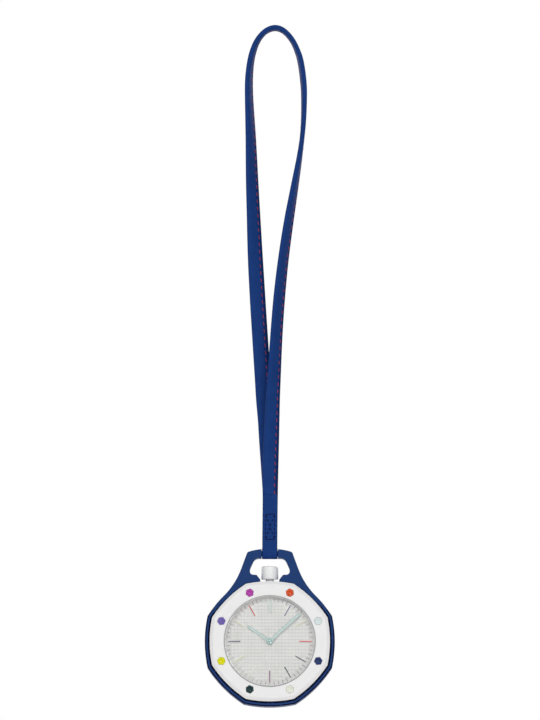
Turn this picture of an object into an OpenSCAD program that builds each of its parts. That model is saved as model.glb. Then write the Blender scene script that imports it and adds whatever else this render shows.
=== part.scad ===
// Fob watch: a cushion-octagon head that snaps into a clip frame, worn on a
// twisted leather lanyard. The head is hand wound, with an open movement.
//
// Row frame, in millimetres: +Z up, the dial faces -Y, +X to the right seen
// from the front. The origin is the middle of the case back's outer face,
// level with the hands' axis. Head pieces are drawn lying on their back, as
// (x right, y up, z from case back to dial), and stood up by stand().

/* [Case] */
// Wall of the mid case between its bore and the middle of a side
case_wall = 3.5; // [3.3:0.1:4.5]
// Radius of each of the eight convex sides
side_radius = 38; // [30:1:60]
// How far the case back stands in from the case's sides
back_step = 1.2; // [1.1:0.1:1.6]
// Height of the case back ring
back_height = 1.3; // [1.2:0.05:1.4]
// Height of the mid case
mid_height = 4.7; // [4.6:0.1:5.4]
// Height of the bezel
bezel_height = 2; // [1.8:0.1:2.6]
// Fall of the bezel's outer facet, seen from the side
facet_drop = 0.8; // [0.5:0.1:1]
// Run of the bezel's outer facet, seen from the front
facet_run = 1.1; // [0.6:0.1:1.6]
// Wall of the ring that holds the movement in the case
casing_wall = 2.2; // [2.1:0.05:2.4]
// How far the bezel's window stands in from the dial's edge
window_margin = 0.75; // [0.6:0.05:0.9]
// Width of the ledge under the front crystal
window_ledge = 0.55; // [0.4:0.05:0.7]
// Distance of the bezel screws' axes from the case bore
screw_inset = 0.95; // [0.9:0.05:1.1]
// Size of a bezel screw head across its corners
screw_head = 2.7; // [2.4:0.1:2.8]
// Thickness of the front crystal
crystal_height = 1.1; // [0.9:0.05:1.2]
// How far the front crystal stands proud of the bezel
crystal_rise = 0.35; // [0.2:0.05:0.5]
// How far the opening in the case back stands in from the case bore
back_margin = 1.55; // [1.4:0.05:1.8]
// Thickness of the back crystal
back_crystal_height = 0.9; // [0.7:0.05:0.9]

/* [Clip frame] */
// Wall of the clip frame's ring
frame_wall = 1.45; // [1.2:0.05:2]
// Height of the clip frame's ring above its rear edge
frame_height = 6; // [5.8:0.1:6.6]
// Width of the lip that stops the head at the rear
frame_lip = 0.95; // [0.7:0.05:1]
// Thickness of the lip
lip_height = 1; // [0.8:0.05:1.05]
// Thickness of the bail, front to back
bail_depth = 4; // [3.4:0.1:4.4]
// Lean of the bail's legs from the vertical, in degrees
leg_lean = 20.3; // [16:0.1:24]
// Fillet radius between the bail's legs and the ring
leg_fillet = 25; // [18:1:30]
// Half width of the bail on the outside at the bar's level
bail_half = 7.5; // [7.2:0.1:8.2]
// Height of the bar's middle above the case's top
bar_rise = 9.3; // [8.9:0.1:10.3]
// Height of the bar across the bail
bar_height = 2.9; // [2.6:0.1:3.3]
// Radius of the bar's round neck, which the lanyard folds around
neck_radius = 0.95; // [0.7:0.05:1]

/* [Crown] */
// Radius of the crown over its flutes
crown_radius = 2.8; // [2.5:0.05:2.9]
// Length of the crown
crown_length = 4.4; // [4:0.1:4.8]
// Number of flutes around the crown
crown_flutes = 36; // [24:2:48]
// Depth of the flutes
flute_depth = 0.12; // [0.06:0.02:0.16]
// How far the crown pulls out to set the hands
crown_pull = 0.9; // [0.7:0.05:1]

/* [Dial and hands] */
// Gap between the dial's edge and the case bore
dial_gap = 0.4; // [0.3:0.05:0.6]
// Thickness of the dial
dial_height = 0.4; // [0.3:0.05:0.4]
// Width of an applied hour marker
marker_width = 0.75; // [0.6:0.05:1]
// Length of an hour marker
marker_length = 4.45; // [3.8:0.05:4.8]
// How far the hour markers stand in from the bezel's window
marker_margin = 1.15; // [1:0.05:1.6]
// Height of an hour marker over the dial
marker_height = 0.3; // [0.2:0.05:0.35]
// How far the hour hand stops short of the hour markers
hour_short = 0.65; // [0.3:0.05:1.5]
// How far the minute hand stops short of the hour markers' outer ends
minute_short = 0.4; // [0.2:0.05:1]
// Width of both hands
hand_width = 1.1; // [0.8:0.05:1.3]
// Thickness of both hands
hand_height = 0.16; // [0.12:0.02:0.2]
// Hour shown, in hours
hour_shown = 10.15; // [0:0.05:12]
// Minute shown, in minutes
minute_shown = 7.9; // [0:0.1:60]

/* [Movement] */
// Radius of the main plate, around which the head is built
plate_radius = 14; // [13.8:0.05:14.3]
// Thickness of the main plate
plate_height = 1.3; // [1.25:0.05:1.35]
// Thickness of the bridges
bridge_height = 0.8; // [0.6:0.05:0.8]
// Radius of the balance wheel's rim
balance_radius = 4; // [3.7:0.05:4.05]
// Outer radius of a bearing jewel
jewel_radius = 0.5; // [0.4:0.05:0.55]
// Radius of the wheels' pivots
pivot_radius = 0.12; // [0.1:0.01:0.14]
// Radius of the winding stem
stem_radius = 0.5; // [0.45:0.01:0.52]

/* [Lanyard] */
// Height of the loop's top above the bar
loop_height = 174.7; // [150:0.1:200]
// Width of the folded leather strap
strap_width = 4.95; // [4:0.05:5.2]
// How much wider the strap lies open in its loop than at the bar
loop_swell = 0.25; // [0:0.05:0.3]
// Thickness of the strap where it is double
strap_thick = 1.6; // [1.2:0.05:1.65]
// Thickness of its single ply
ply_thick = 0.75; // [0.6:0.05:0.8]

/* [Clearances] */
// Gap between the head and the clip frame's ring
frame_gap = 0.15; // [0.1:0.01:0.2]
// Gap between the case back and the lip
lip_gap = 0.1; // [0.05:0.01:0.15]
// Radial gap of turning shafts
run_gap = 0.02; // [0.015:0.005:0.04]
// Gap between fixed pieces that are fitted together
fit_gap = 0.02; // [0.01:0.005:0.04]
// Gap left and right of the strap in the bar
strap_gap = 0.2; // [0.15:0.05:0.5]
// Gap between the neck and the strap folded round it
fold_gap = 0.05; // [0.03:0.01:0.1]
// End shake of the wheels between plate and bridges
shake = 0.05; // [0.03:0.01:0.08]

/* [Hidden] */
eps = 0.5;

// ---- levels, from the case back's outer face towards the dial ----
mv = plate_radius / 14;                  // the movement's plan scales by this
case_bore = plate_radius + casing_wall;
case_r = case_bore + case_wall;
back_r = case_r - back_step;
back_window = case_bore - back_margin;
screw_circle = case_bore + screw_inset;
dial_radius = case_bore - dial_gap;
window_radius = dial_radius - window_margin;
marker_outer = window_radius - marker_margin;
marker_inner = marker_outer - marker_length;
hour_length = marker_inner - hour_short;
minute_length = marker_outer - minute_short;
bar_level = case_r + bar_rise;
z_mid = back_height;
z_bezel = z_mid + mid_height;
z_front = z_bezel + bezel_height;
z_ledge = z_front + crystal_rise - crystal_height;
z_bridge = 1.6;                          // outer face of the bridges
z_bridge_in = z_bridge + bridge_height;  // inner face of the bridges
z_plate = 3.9;                           // inner face of the main plate
z_plate_top = z_plate + plate_height;    // dial side of the main plate
z_dial = z_bezel - 0.2;                  // underside of the dial
z_dial_top = z_dial + dial_height;
z_hour = z_dial_top + 0.22;              // underside of the hour hand
z_minute = z_hour + hand_height + 0.24;  // underside of the minute hand
z_stem = 3.2;                            // the crown and stem's axis
jewel_r = jewel_radius / mv;
pivot_r = pivot_radius / mv;
balance_r = balance_radius / mv;
plate_r = plate_radius / mv;
run_g = run_gap / mv;
fit_g = fit_gap / mv;
z_frame = 0.2;                           // rear edge of the clip frame
z_bail = z_frame + 2;
z_bar = z_bail + bail_depth / 2;         // the bar neck's axis

// ---- wheel train: teeth, modules and places ----
at_centre = [0, 0];
at_barrel = [-6.7, 2.44];
at_third = [2.25, -3.9];
at_fourth = [5.45, -2.75];
at_escape = [7.93, -0.57];
at_pallet = [7.43, 1.56];
at_balance = [6.76, 4.38];
at_crown_wheel = [0, 4.54];
at_setting = [0, 4.6];
at_minute = [1.83, 2.223];
at_click = [-5.55, 7.95];
at_yoke = [-3.7, 6.4];
at_lever = [3.1, 9.55];
barrel_teeth = 72;   barrel_mod = 0.17;
centre_teeth = 80;   centre_mod = 0.1;    centre_leaves = 12;
third_teeth = 75;    third_mod = 0.08;    third_leaves = 10;
fourth_teeth = 80;   fourth_mod = 0.075;  fourth_leaves = 10;
escape_teeth = 15;   escape_leaves = 8;   escape_r = 1.9;
ratchet_teeth = 48;  crown_wheel_teeth = 30;  wind_mod = 0.18;
cannon_teeth = 12;   minute_teeth = 36;   motion_mod = 0.12;
minute_leaves = 12;  hour_teeth = 48;     hour_mod = 0.096;
setting_teeth = 14;  pinion_teeth = 17;

post_barrel = [[-10.9, -5.4], [-2.9, 12], [3.2, 11.9]];
post_train = [[-3.4, -11.3], [10.6, -7], [-7.6, -9.2]];
jewel_spots = [at_third, at_fourth, at_escape, at_centre];
screw_spots = concat(post_barrel, post_train);

strap_colour = [0.12, 0.16, 0.40];
frame_colour = [0.12, 0.21, 0.45];
case_colour = [0.93, 0.92, 0.91];
steel = [0.72, 0.73, 0.75];
brass = [0.80, 0.66, 0.36];
plate_colour = [0.70, 0.70, 0.72];
ruby = [0.75, 0.10, 0.25];

// ---- small tools ----
module stand() { rotate([90, 0, 0]) children(); }
// A piece of the movement, drawn for a plate of radius 14: sizes named above
// are divided by mv where it is drawn, so they keep their own value
module plan() { stand() scale([mv, mv, 1]) children(); }
module lift(z) { translate([0, 0, z]) children(); }
module at(p, z = 0) { translate([p[0], p[1], z]) children(); }
module rod(r, z0, z1, n = 48) { lift(z0) cylinder(r = r, h = z1 - z0, $fn = n); }
module ring(ro, ri, z0, z1, n = 96) {
  difference() { rod(ro, z0, z1, n); rod(ri, z0 - eps, z1 + eps, n); }
}
// A shaft along the stem's axis, from y0 to y1
module along_stem(y0) { translate([0, y0, z_stem]) rotate([-90, 0, 0]) children(); }

function polar(r, a) = r * [cos(a), sin(a)];
function arc(c, r, a0, a1, n) = [for (i = [0:n]) c + polar(r, a0 + (a1 - a0) * i / n)];
function unit(v) = v / norm(v);
function turn(a) = a - 360 * floor((a + 180) / 360);
function heading(p, q) = atan2(q[1] - p[1], q[0] - p[0]);
// Points of one rounded corner at p1 between p0 and p2
function corner(p0, p1, p2, r, n) =
  let (u = unit(p0 - p1), v = unit(p2 - p1), h = acos(max(-1, min(1, u * v))) / 2,
       c = p1 + unit(u + v) * r / sin(h), s = p1 + u * r / tan(h), e = p1 + v * r / tan(h),
       a0 = heading(c, s), d = turn(heading(c, e) - a0))
  [for (i = [0:n]) c + polar(r, a0 + d * i / n)];
// A closed outline with each corner i rounded to radii[i]
function rounded(p, radii, n = 6) = let (m = len(p))
  [for (i = [0:m - 1]) each radii[i] == 0 ? [p[i]]
     : corner(p[(i + m - 1) % m], p[i], p[(i + 1) % m], radii[i], n)];
function flip(p) = [for (i = [len(p) - 1:-1:0]) [-p[i][0], p[i][1]]];

// ---- cushion octagon: eight big coins overlapped ----
module coin(r, r2, h, k) {
  rotate([0, 0, 45 * k]) translate([case_r - side_radius, 0, 0])
    cylinder(r1 = side_radius + r - case_r, r2 = side_radius + r2 - case_r, h = h, $fn = 200);
}
module cushion(r, r2, z0, z1) {
  lift(z0) intersection() {
    coin(r, r2, z1 - z0, 0); coin(r, r2, z1 - z0, 1); coin(r, r2, z1 - z0, 2);
    coin(r, r2, z1 - z0, 3); coin(r, r2, z1 - z0, 4); coin(r, r2, z1 - z0, 5);
    coin(r, r2, z1 - z0, 6); coin(r, r2, z1 - z0, 7);
  }
}
module corners() { for (k = [0:7]) rotate([0, 0, 22.5 + 45 * k]) translate([screw_circle, 0, 0]) children(); }

// ---- clip frame ----
frame_in = case_r + frame_gap;
frame_out = frame_in + frame_wall;
slot_half = crown_radius + 0.3;
side_c = polar(case_r - side_radius, 45);
side_r = side_radius + frame_out - case_r;
leg_n = [cos(leg_lean), sin(leg_lean)];
leg_u = [-sin(leg_lean), cos(leg_lean)];
leg_d = leg_n * [bail_half, bar_level];
fillet_s = leg_d + leg_fillet - leg_n * side_c;
fillet_c = side_c + fillet_s * leg_n
  + sqrt(pow(side_r + leg_fillet, 2) - fillet_s * fillet_s) * leg_u;
fillet_0 = side_c + side_r * unit(fillet_c - side_c);
fillet_1 = fillet_c - leg_fillet * leg_n;
bar_top = bar_level + bar_height / 2;
bar_low = bar_level - bar_height / 2 - 0.1;
// Outside of one leg at height y
function leg_x(y) = (leg_d - leg_n[1] * y) / leg_n[0];
// The bail's arched top at the distance x from the middle
function arch_y(x) = bar_top + 0.1 - x * x / 52;
bail_right = concat(
  arc(fillet_c, leg_fillet, heading(fillet_c, fillet_0), heading(fillet_c, fillet_1), 14),
  corner([leg_x(bar_low), bar_low], [leg_x(bar_top - 1), bar_top - 1], [6, arch_y(6)], 1, 6),
  [for (x = [5.4, 4.6, 3.8, 3, 2.2, 1.1]) [x, arch_y(x)]]);
bail_out = concat([[0, case_r - 8]], bail_right, [[0, bar_top + 0.1]], flip(bail_right));
eye_side = [[slot_half, case_r - 1], [slot_half, case_r + 0.65], [4.35, case_r + 2.25], [6.6, case_r + 2.3],
            [6.45, case_r + 4.3], [4.9, bar_low]];
eye_all = concat(eye_side, flip(eye_side));
eye_round = [0, 0.3, 0.5, 1.1, 1.2, 2, 2, 1.2, 1.1, 0.5, 0.3, 0];
neck_half = strap_width / 2 + strap_gap;
module holder_frame() {
  color(frame_colour) stand() difference() {
    union() {
      cushion(frame_out, frame_out, z_frame, z_frame + frame_height);
      lift(z_bail) linear_extrude(bail_depth) polygon(bail_out);
    }
    cushion(frame_in, frame_in, z_frame + lip_height, z_frame + frame_height + eps);
    cushion(frame_in - frame_lip, frame_in - frame_lip, z_frame - eps, z_frame + lip_height + eps);
    lift(z_frame - eps) linear_extrude(frame_height + 2 * eps) polygon(rounded(eye_all, eye_round));
    // the bar is turned down to a round neck where the strap runs
    difference() {
      translate([-neck_half, bar_low - eps, z_bail - eps])
        cube([2 * neck_half, bar_height + 2 + eps, bail_depth + 2 * eps]);
      translate([-neck_half - eps, bar_level, z_bar]) rotate([0, 90, 0])
        cylinder(r = neck_radius, h = 2 * neck_half + 2 * eps, $fn = 64);
    }
  }
}

// ---- case ----
shank_r = 0.45;
tube_r = 1.3;
pinion_room = 1.85;
module mid_case() {
  color(case_colour) stand() difference() {
    cushion(case_r, case_r, z_mid, z_bezel);
    rod(case_bore, z_mid - eps, z_bezel + eps, 180);
    rod(case_bore + 0.4, z_bezel - 0.3, z_bezel + eps, 180);
    corners() rod(shank_r + fit_gap, z_mid + 0.8, z_bezel + eps);
    along_stem(case_bore - 1) cylinder(r = tube_r + fit_gap, h = case_r - case_bore + 2, $fn = 64);
  }
}
module bezel_gasket() {
  color([0.1, 0.1, 0.1]) stand()
    ring(case_bore + 0.4 - fit_gap, case_bore + 0.05, z_bezel - 0.3, z_bezel, 180);
}
head_z = z_front - 0.75;
module bezel() {
  color(case_colour) stand() difference() {
    union() {
      cushion(case_r, case_r, z_bezel, z_front - facet_drop);
      cushion(case_r, case_r - facet_run, z_front - facet_drop, z_front);
    }
    rod(window_radius, z_ledge, z_front + eps, 180);
    rod(window_radius - window_ledge, z_bezel - eps, z_ledge + eps, 180);
    rod(dial_radius + 0.15, z_bezel - eps, z_dial_top + 0.03, 180);
    corners() {
      rod(shank_r + fit_gap, z_bezel - eps, z_front);
      lift(head_z) rotate([0, 0, 30]) cylinder(r = screw_head / 2 + 0.07, h = bezel_height, $fn = 6);
    }
  }
}
module bezel_screw(k, c) {
  color(c) stand() rotate([0, 0, 67.5 - 45 * k]) translate([screw_circle, 0, 0]) difference() {
    union() {
      lift(head_z) rotate([0, 0, 30]) cylinder(r = screw_head / 2, h = 0.9, $fn = 6);
      rod(shank_r, z_mid + 1, head_z + 0.1);
    }
    lift(head_z + 0.65) rod(0.55, 0, 1);
  }
}
module bezel_screw_1() { bezel_screw(0, [0.87, 0.32, 0.15]); }
module bezel_screw_2() { bezel_screw(1, [0.79, 0.84, 0.85]); }
module bezel_screw_3() { bezel_screw(2, [0.08, 0.18, 0.40]); }
module bezel_screw_4() { bezel_screw(3, [0.85, 0.88, 0.81]); }
module bezel_screw_5() { bezel_screw(4, [0.02, 0.19, 0.22]); }
module bezel_screw_6() { bezel_screw(5, [0.87, 0.89, 0.07]); }
module bezel_screw_7() { bezel_screw(6, [0.41, 0.35, 0.68]); }
module bezel_screw_8() { bezel_screw(7, [0.73, 0.25, 0.68]); }
glass_r = window_radius - 0.3;
module front_crystal() {
  color([0.9, 0.95, 1, 0.4]) stand() {
    rod(glass_r, z_ledge, z_front + crystal_rise - 0.15, 180);
    lift(z_front + crystal_rise - 0.15) cylinder(r1 = glass_r, r2 = glass_r - 0.3, h = 0.15, $fn = 180);
  }
}
module crystal_gasket() {
  color([0.8, 0.8, 0.81]) stand()
    ring(window_radius - fit_gap, glass_r + fit_gap, z_ledge, z_front + 0.05, 180);
}
module case_back() {
  color(case_colour) stand() difference() {
    union() {
      cushion(back_r - 0.4, back_r, 0, 0.4);
      cushion(back_r, back_r, 0.4, back_height);
      rod(case_bore - 0.05, back_height - 0.1, back_height + 0.3, 180);
    }
    rod(back_window, -eps, back_crystal_height + 0.05, 180);
    rod(back_window - 0.75, -eps, back_height + 1, 180);
  }
}
module back_crystal() {
  color([0.9, 0.95, 1, 0.4]) stand() rod(back_window - 0.3, 0, back_crystal_height, 180);
}
module back_gasket() {
  color([0.12, 0.12, 0.13]) stand()
    ring(back_window - fit_gap, back_window - 0.3 + fit_gap, 0.08, back_crystal_height + 0.05, 180);
}
module casing_ring() {
  color([0.85, 0.85, 0.83]) stand() difference() {
    ring(case_bore - 0.1, plate_radius + 0.05, back_height + 0.3, z_dial - 0.03, 180);
    along_stem(plate_radius - 1) cylinder(r = stem_radius + 0.3, h = 4, $fn = 48);
  }
}

// ---- crown and keyless work ----
crown_y = case_r + 0.85;
crown_top = crown_y + crown_length;
tube_y = case_bore + 0.2;
module crown_tube() {
  color(steel) stand() along_stem(tube_y) difference() {
    cylinder(r = tube_r, h = crown_y + 1.9 - tube_y, $fn = 64);
    lift(-eps) cylinder(r = stem_radius + run_gap, h = 12, $fn = 48);
  }
}
module crown_gasket() {
  color([0.12, 0.12, 0.13]) stand() along_stem(crown_y + 0.4) difference() {
    cylinder(r = 1.95 - run_gap, h = 0.5, $fn = 64);
    lift(-eps) cylinder(r = tube_r + run_gap, h = 2, $fn = 64);
  }
}
function flutes(r, d, n) = [for (i = [0:n - 1]) each [polar(r, 360 * (i + 0.05) / n),
  polar(r, 360 * (i + 0.45) / n), polar(r - d, 360 * (i + 0.62) / n), polar(r - d, 360 * (i + 0.88) / n)]];
module crown() {
  color(case_colour) stand() along_stem(crown_y) difference() {
    intersection() {
      linear_extrude(crown_length) polygon(flutes(crown_radius, flute_depth, crown_flutes));
      rotate_extrude($fn = 120) polygon(concat([[0, 0]],
        [[crown_radius - 0.35, 0], [crown_radius + 0.05, 0.3], [crown_radius + 0.05, crown_length - 0.75]],
        arc([crown_radius - 0.7, crown_length - 0.75], 0.75, 0, 90, 6), [[0, crown_length]]));
    }
    lift(-eps) cylinder(r = 1.95, h = eps + 3.1, $fn = 64);
    lift(-eps) cylinder(r = stem_radius + fit_gap, h = eps + 3.8, $fn = 48);
  }
}
slide_0 = 6.05;      // lower end of the sliding pinion when winding
wind_0 = 7.12;       // lower end of the winding pinion
slide_y = mv * slide_0;
wind_y = mv * wind_0;
module winding_stem() {
  color(steel) stand() along_stem(0) difference() {
    union() {
      lift(4.3 * mv) cylinder(r = stem_radius - 0.12, h = 4.6 * mv, $fn = 4);
      lift(8.7 * mv) cylinder(r = stem_radius, h = crown_y + 3.75 - 8.7 * mv, $fn = 48);
    }
    lift(10 * mv) difference() {
      cylinder(r = 1, h = 0.45 * mv, $fn = 48);
      lift(-eps) cylinder(r = 0.28, h = 2, $fn = 48);
    }
  }
}

// ---- gears ----
// Outline of n teeth of module m, tooth 0 at angle ph
function teeth(n, m, ph) = [for (i = [0:n - 1]) each
  [polar(m * (n / 2 - 1.1), ph + 360 / n * (i - 0.3)), polar(m * (n / 2 + 0.9), ph + 360 / n * (i - 0.11)),
   polar(m * (n / 2 + 0.9), ph + 360 / n * (i + 0.11)), polar(m * (n / 2 - 1.1), ph + 360 / n * (i + 0.3))]];
module gear(n, m, z0, z1, ph = 0) { lift(z0) linear_extrude(z1 - z0) polygon(teeth(n, m, ph)); }
// Window between two spokes that leave a rim and a hub
function window(ri, ro, a0, a1, w) =
  concat(arc([0, 0], ro, a0 + asin(w / ro), a1 - asin(w / ro), 7),
         arc([0, 0], ri, a1 - asin(w / ri), a0 + asin(w / ri), 3));
module spoked(n, m, z0, z1, ph, spokes, rim, hub, w) {
  difference() {
    gear(n, m, z0, z1, ph);
    for (k = [0:spokes - 1]) lift(z0 - eps) linear_extrude(z1 - z0 + 2 * eps)
      polygon(window(hub, m * n / 2 - rim, 360 * k / spokes, 360 * (k + 1) / spokes, w));
  }
}
// Angle of tooth 0 of a driven gear of n teeth at q, meshing with one at p
function mesh(p, q, n) = heading(q, p) + 180 / n;

z_pivot = z_bridge + 0.15;
z_pivot_top = z_plate + 0.7;
module arbor(r, z0, z1) { rod(pivot_r, z_pivot, z_pivot_top, 32); rod(r, z0, z1, 32); }
module centre_wheel() {
  color(brass) plan() {
    spoked(centre_teeth, centre_mod, 3.5, 3.7, heading(at_centre, at_third), 5, 0.4, 0.9, 0.16);
    gear(centre_leaves, barrel_mod, z_bridge_in + shake, 3.5, mesh(at_barrel, at_centre, centre_leaves));
    rod(0.28, z_bridge + 0.15, z_minute + hand_height - 0.05, 32);
    rod(0.45, 3.5, z_plate - shake, 32);
  }
}
module third_wheel() {
  color(brass) plan() at(at_third) {
    spoked(third_teeth, third_mod, 2.6, 2.75, heading(at_third, at_fourth), 5, 0.3, 0.6, 0.13);
    gear(third_leaves, centre_mod, 3.3, 3.8, mesh(at_centre, at_third, third_leaves));
    arbor(0.25, z_bridge_in + shake, 3.85);
  }
}
module fourth_wheel() {
  color(brass) plan() at(at_fourth) {
    spoked(fourth_teeth, fourth_mod, 2.95, 3.1, heading(at_fourth, at_escape), 5, 0.3, 0.6, 0.13);
    gear(fourth_leaves, third_mod, z_bridge_in + shake, 2.85, mesh(at_third, at_fourth, fourth_leaves));
    arbor(0.22, z_bridge_in + shake, 3.85);
  }
}
function club(n, r, d, ph) = [for (i = [0:n - 1]) each
  [polar(r - d, ph + 360 / n * (i - 0.36)), polar(r - 0.03, ph + 360 / n * (i + 0.06)),
   polar(r, ph + 360 / n * (i + 0.2)), polar(r - d, ph + 360 / n * (i - 0.08))]];
module escape_wheel() {
  color(steel) plan() at(at_escape) {
    difference() {
      lift(3.45) linear_extrude(0.15) polygon(club(escape_teeth, escape_r, 0.42, 0));
      for (k = [0:3]) lift(3) linear_extrude(1)
        polygon(window(0.42, escape_r - 0.62, 90 * k, 90 * k + 90, 0.1));
    }
    gear(escape_leaves, fourth_mod, 2.8, 3.3, mesh(at_fourth, at_escape, escape_leaves));
    arbor(0.18, z_bridge_in + shake, 3.85);
  }
}
fork_turn = heading(at_pallet, at_balance);
pin_r = 0.09;
roller_r = 0.55;
fork_reach = norm(at_balance - at_pallet) - roller_r;
stone_u = -norm(at_escape - at_pallet) + (escape_r + 0.18) * cos(32);
stone_v = (escape_r + 0.18) * sin(32);
module pallet_fork() {
  color(steel) plan() at(at_pallet) rotate([0, 0, fork_turn]) {
    lift(3.4) linear_extrude(0.25) polygon([[-0.22, -0.22], [stone_u - 0.1, -stone_v - 0.22], [stone_u + 0.3, -stone_v - 0.3],
      [0.35, -0.3], [0.5, -0.14], [fork_reach - 0.45, -0.14], [fork_reach - 0.25, -0.36], [fork_reach + 0.18, -0.3],
      [fork_reach + 0.1, -0.13], [fork_reach - 0.2, -0.13], [fork_reach - 0.2, 0.13], [fork_reach + 0.1, 0.13],
      [fork_reach + 0.18, 0.3], [fork_reach - 0.25, 0.36], [fork_reach - 0.45, 0.14], [0.5, 0.14], [0.35, 0.3],
      [stone_u + 0.3, stone_v + 0.3], [stone_u - 0.1, stone_v + 0.22], [-0.22, 0.22]]);
    for (s = [-1, 1]) translate([stone_u - 0.02, s * stone_v, 3.38]) rotate([0, 0, s * 40])
      translate([-0.26, -0.1, 0]) cube([0.5, 0.2, 0.3]);
    rod(0.22, 3.35, 3.8, 32);
    rod(pivot_r, 3.15, z_pivot_top, 32);
  }
}
module pallet_bridge() {
  color(plate_colour) plan() difference() {
    union() {
      lift(3.1) linear_extrude(0.2) polygon(rounded([at_pallet + [-0.7, -0.55], at_pallet + [3.3, -0.75],
        at_pallet + [3.3, 0.75], at_pallet + [-0.7, 0.65]], [0.5, 0.6, 0.6, 0.5]));
      at(at_pallet + [2.6, 0]) rod(0.62, 3.2, z_plate);
    }
    at(at_pallet) rod(pivot_r + run_g, 3, 3.4, 32);
    at(at_pallet + [2.6, 0]) rod(0.3, 3, z_plate + eps, 32);
  }
}
rim_w = 0.5;
z_rim = 2.55;
module balance_wheel() {
  color([0.85, 0.72, 0.42]) plan() at(at_balance) {
    difference() {
      rod(balance_r, z_rim, z_rim + 0.45, 120);
      for (k = [0:2]) lift(z_rim - eps) linear_extrude(2)
        polygon(window(0.6, balance_r - rim_w, 120 * k + 20, 120 * k + 140, 0.22));
      difference() {
        rod(balance_r - rim_w + 0.02, z_rim - eps, z_rim + 0.12, 96);
      }
    }
    for (k = [0:11]) rotate([0, 0, 30 * k + 15]) translate([balance_r - 0.12, 0, z_rim + 0.225])
      rotate([0, 90, 0]) cylinder(r = 0.15, h = 0.3, $fn = 24);
    rod(0.32, z_rim + 0.1, z_rim + 0.6, 32);
    rod(roller_r + 0.2, z_rim + 0.5, z_rim + 0.62, 48);
    rotate([0, 0, fork_turn + 180]) translate([roller_r, 0, 0]) rod(pin_r, z_rim + 0.55, 3.62, 24);
    rod(0.2, 2.12 + shake, z_rim + 0.2, 32);
    rod(pivot_r, z_pivot, z_pivot_top, 32);
    rod(0.2, z_rim + 0.6, 3.85, 32);
  }
}
// Flat spiral band: n turns from radius r0 to r1, w wide
function spiral(r0, r1, turns, w, n, a0) = concat(
  [for (i = [0:n]) polar(r0 + (r1 - r0) * i / n - w / 2, a0 + 360 * turns * i / n)],
  [for (i = [n:-1:0]) polar(r0 + (r1 - r0) * i / n + w / 2, a0 + 360 * turns * i / n)]);
spring_r = 2.1;
module hairspring() {
  color([0.25, 0.35, 0.65]) plan() at(at_balance, 2.22) {
    linear_extrude(0.2) polygon(spiral(0.45, spring_r, 6, 0.07, 120, cock_turn));
    ring(0.45, 0.2 + run_g, 0, 0.2, 32);
  }
}
z_drum = z_bridge_in + 0.1;
drum_r = 5.75;
module barrel() {
  color(brass) plan() at(at_barrel) difference() {
    union() {
      gear(barrel_teeth, barrel_mod, z_drum, z_drum + 0.3, heading(at_barrel, at_centre));
      rod(drum_r, z_drum, 3.4, 120);
    }
    rod(drum_r - 0.25, z_drum + 0.18, 4, 120);
    rod(0.62 + run_g, 2, 4, 48);
  }
}
module mainspring() {
  color(steel) plan() at(at_barrel, z_drum + 0.22)
    linear_extrude(0.6) polygon(spiral(1.15, drum_r - 0.4, 9, 0.14, 180, 0));
}
module barrel_arbor() {
  color(steel) plan() at(at_barrel) {
    rod(0.62, z_bridge + 0.0, 3.85, 48);
    rod(0.95, z_drum + 0.22, 3.35, 48);
    rod(0.4, 3.8, z_plate_top - 0.2, 32);
    lift(1.12) cylinder(r = 0.6, h = 0.6, $fn = 4);
  }
}
z_ratchet = 1.12;
module ratchet_wheel() {
  color(steel) plan() at(at_barrel) difference() {
    gear(ratchet_teeth, wind_mod, z_ratchet, z_bridge - shake, mesh(at_crown_wheel, at_barrel, ratchet_teeth));
    lift(0) cylinder(r = 0.62, h = 3, $fn = 4);
  }
}
module crown_wheel() {
  color(steel) plan() at(at_crown_wheel) difference() {
    gear(crown_wheel_teeth, wind_mod, z_ratchet, z_bridge - shake, heading(at_crown_wheel, at_barrel));
    rod(0.9 + run_g, 0, 3, 64);
  }
}
click_turn = heading(at_click, at_barrel);
click_reach = norm(at_barrel - at_click) - wind_mod * (ratchet_teeth / 2 + 0.9) - 0.04;
module click() {
  color(steel) plan() at(at_click, z_ratchet + 0.03) rotate([0, 0, click_turn]) difference() {
    union() {
      cylinder(r = 0.75, h = 0.4, $fn = 48);
      linear_extrude(0.4) polygon([[-0.2, -0.7], [0.5, -0.55], [click_reach, 0.35], [click_reach - 0.1, 0.75], [0.1, 0.7]]);
      linear_extrude(0.4) polygon([[0.2, 0.2], [0.3, 0.7], [-0.5, 1.9], [-0.8, 1.8], [-0.6, 0.3]]);
    }
    lift(-1) cylinder(r = 0.35 + run_g, h = 3, $fn = 32);
  }
}
module click_spring() {
  // a straight blade behind the click, pressing its tail
  color(steel) plan() at(at_click, z_bridge - 0.3) rotate([0, 0, click_turn]) {
    translate([-1.24, -2.3, 0]) cube([0.12, 4.1, 0.3]);
    translate([-1.18, -2.5, 0]) cylinder(r = 0.5, h = 0.3, $fn = 32);
  }
}

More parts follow.
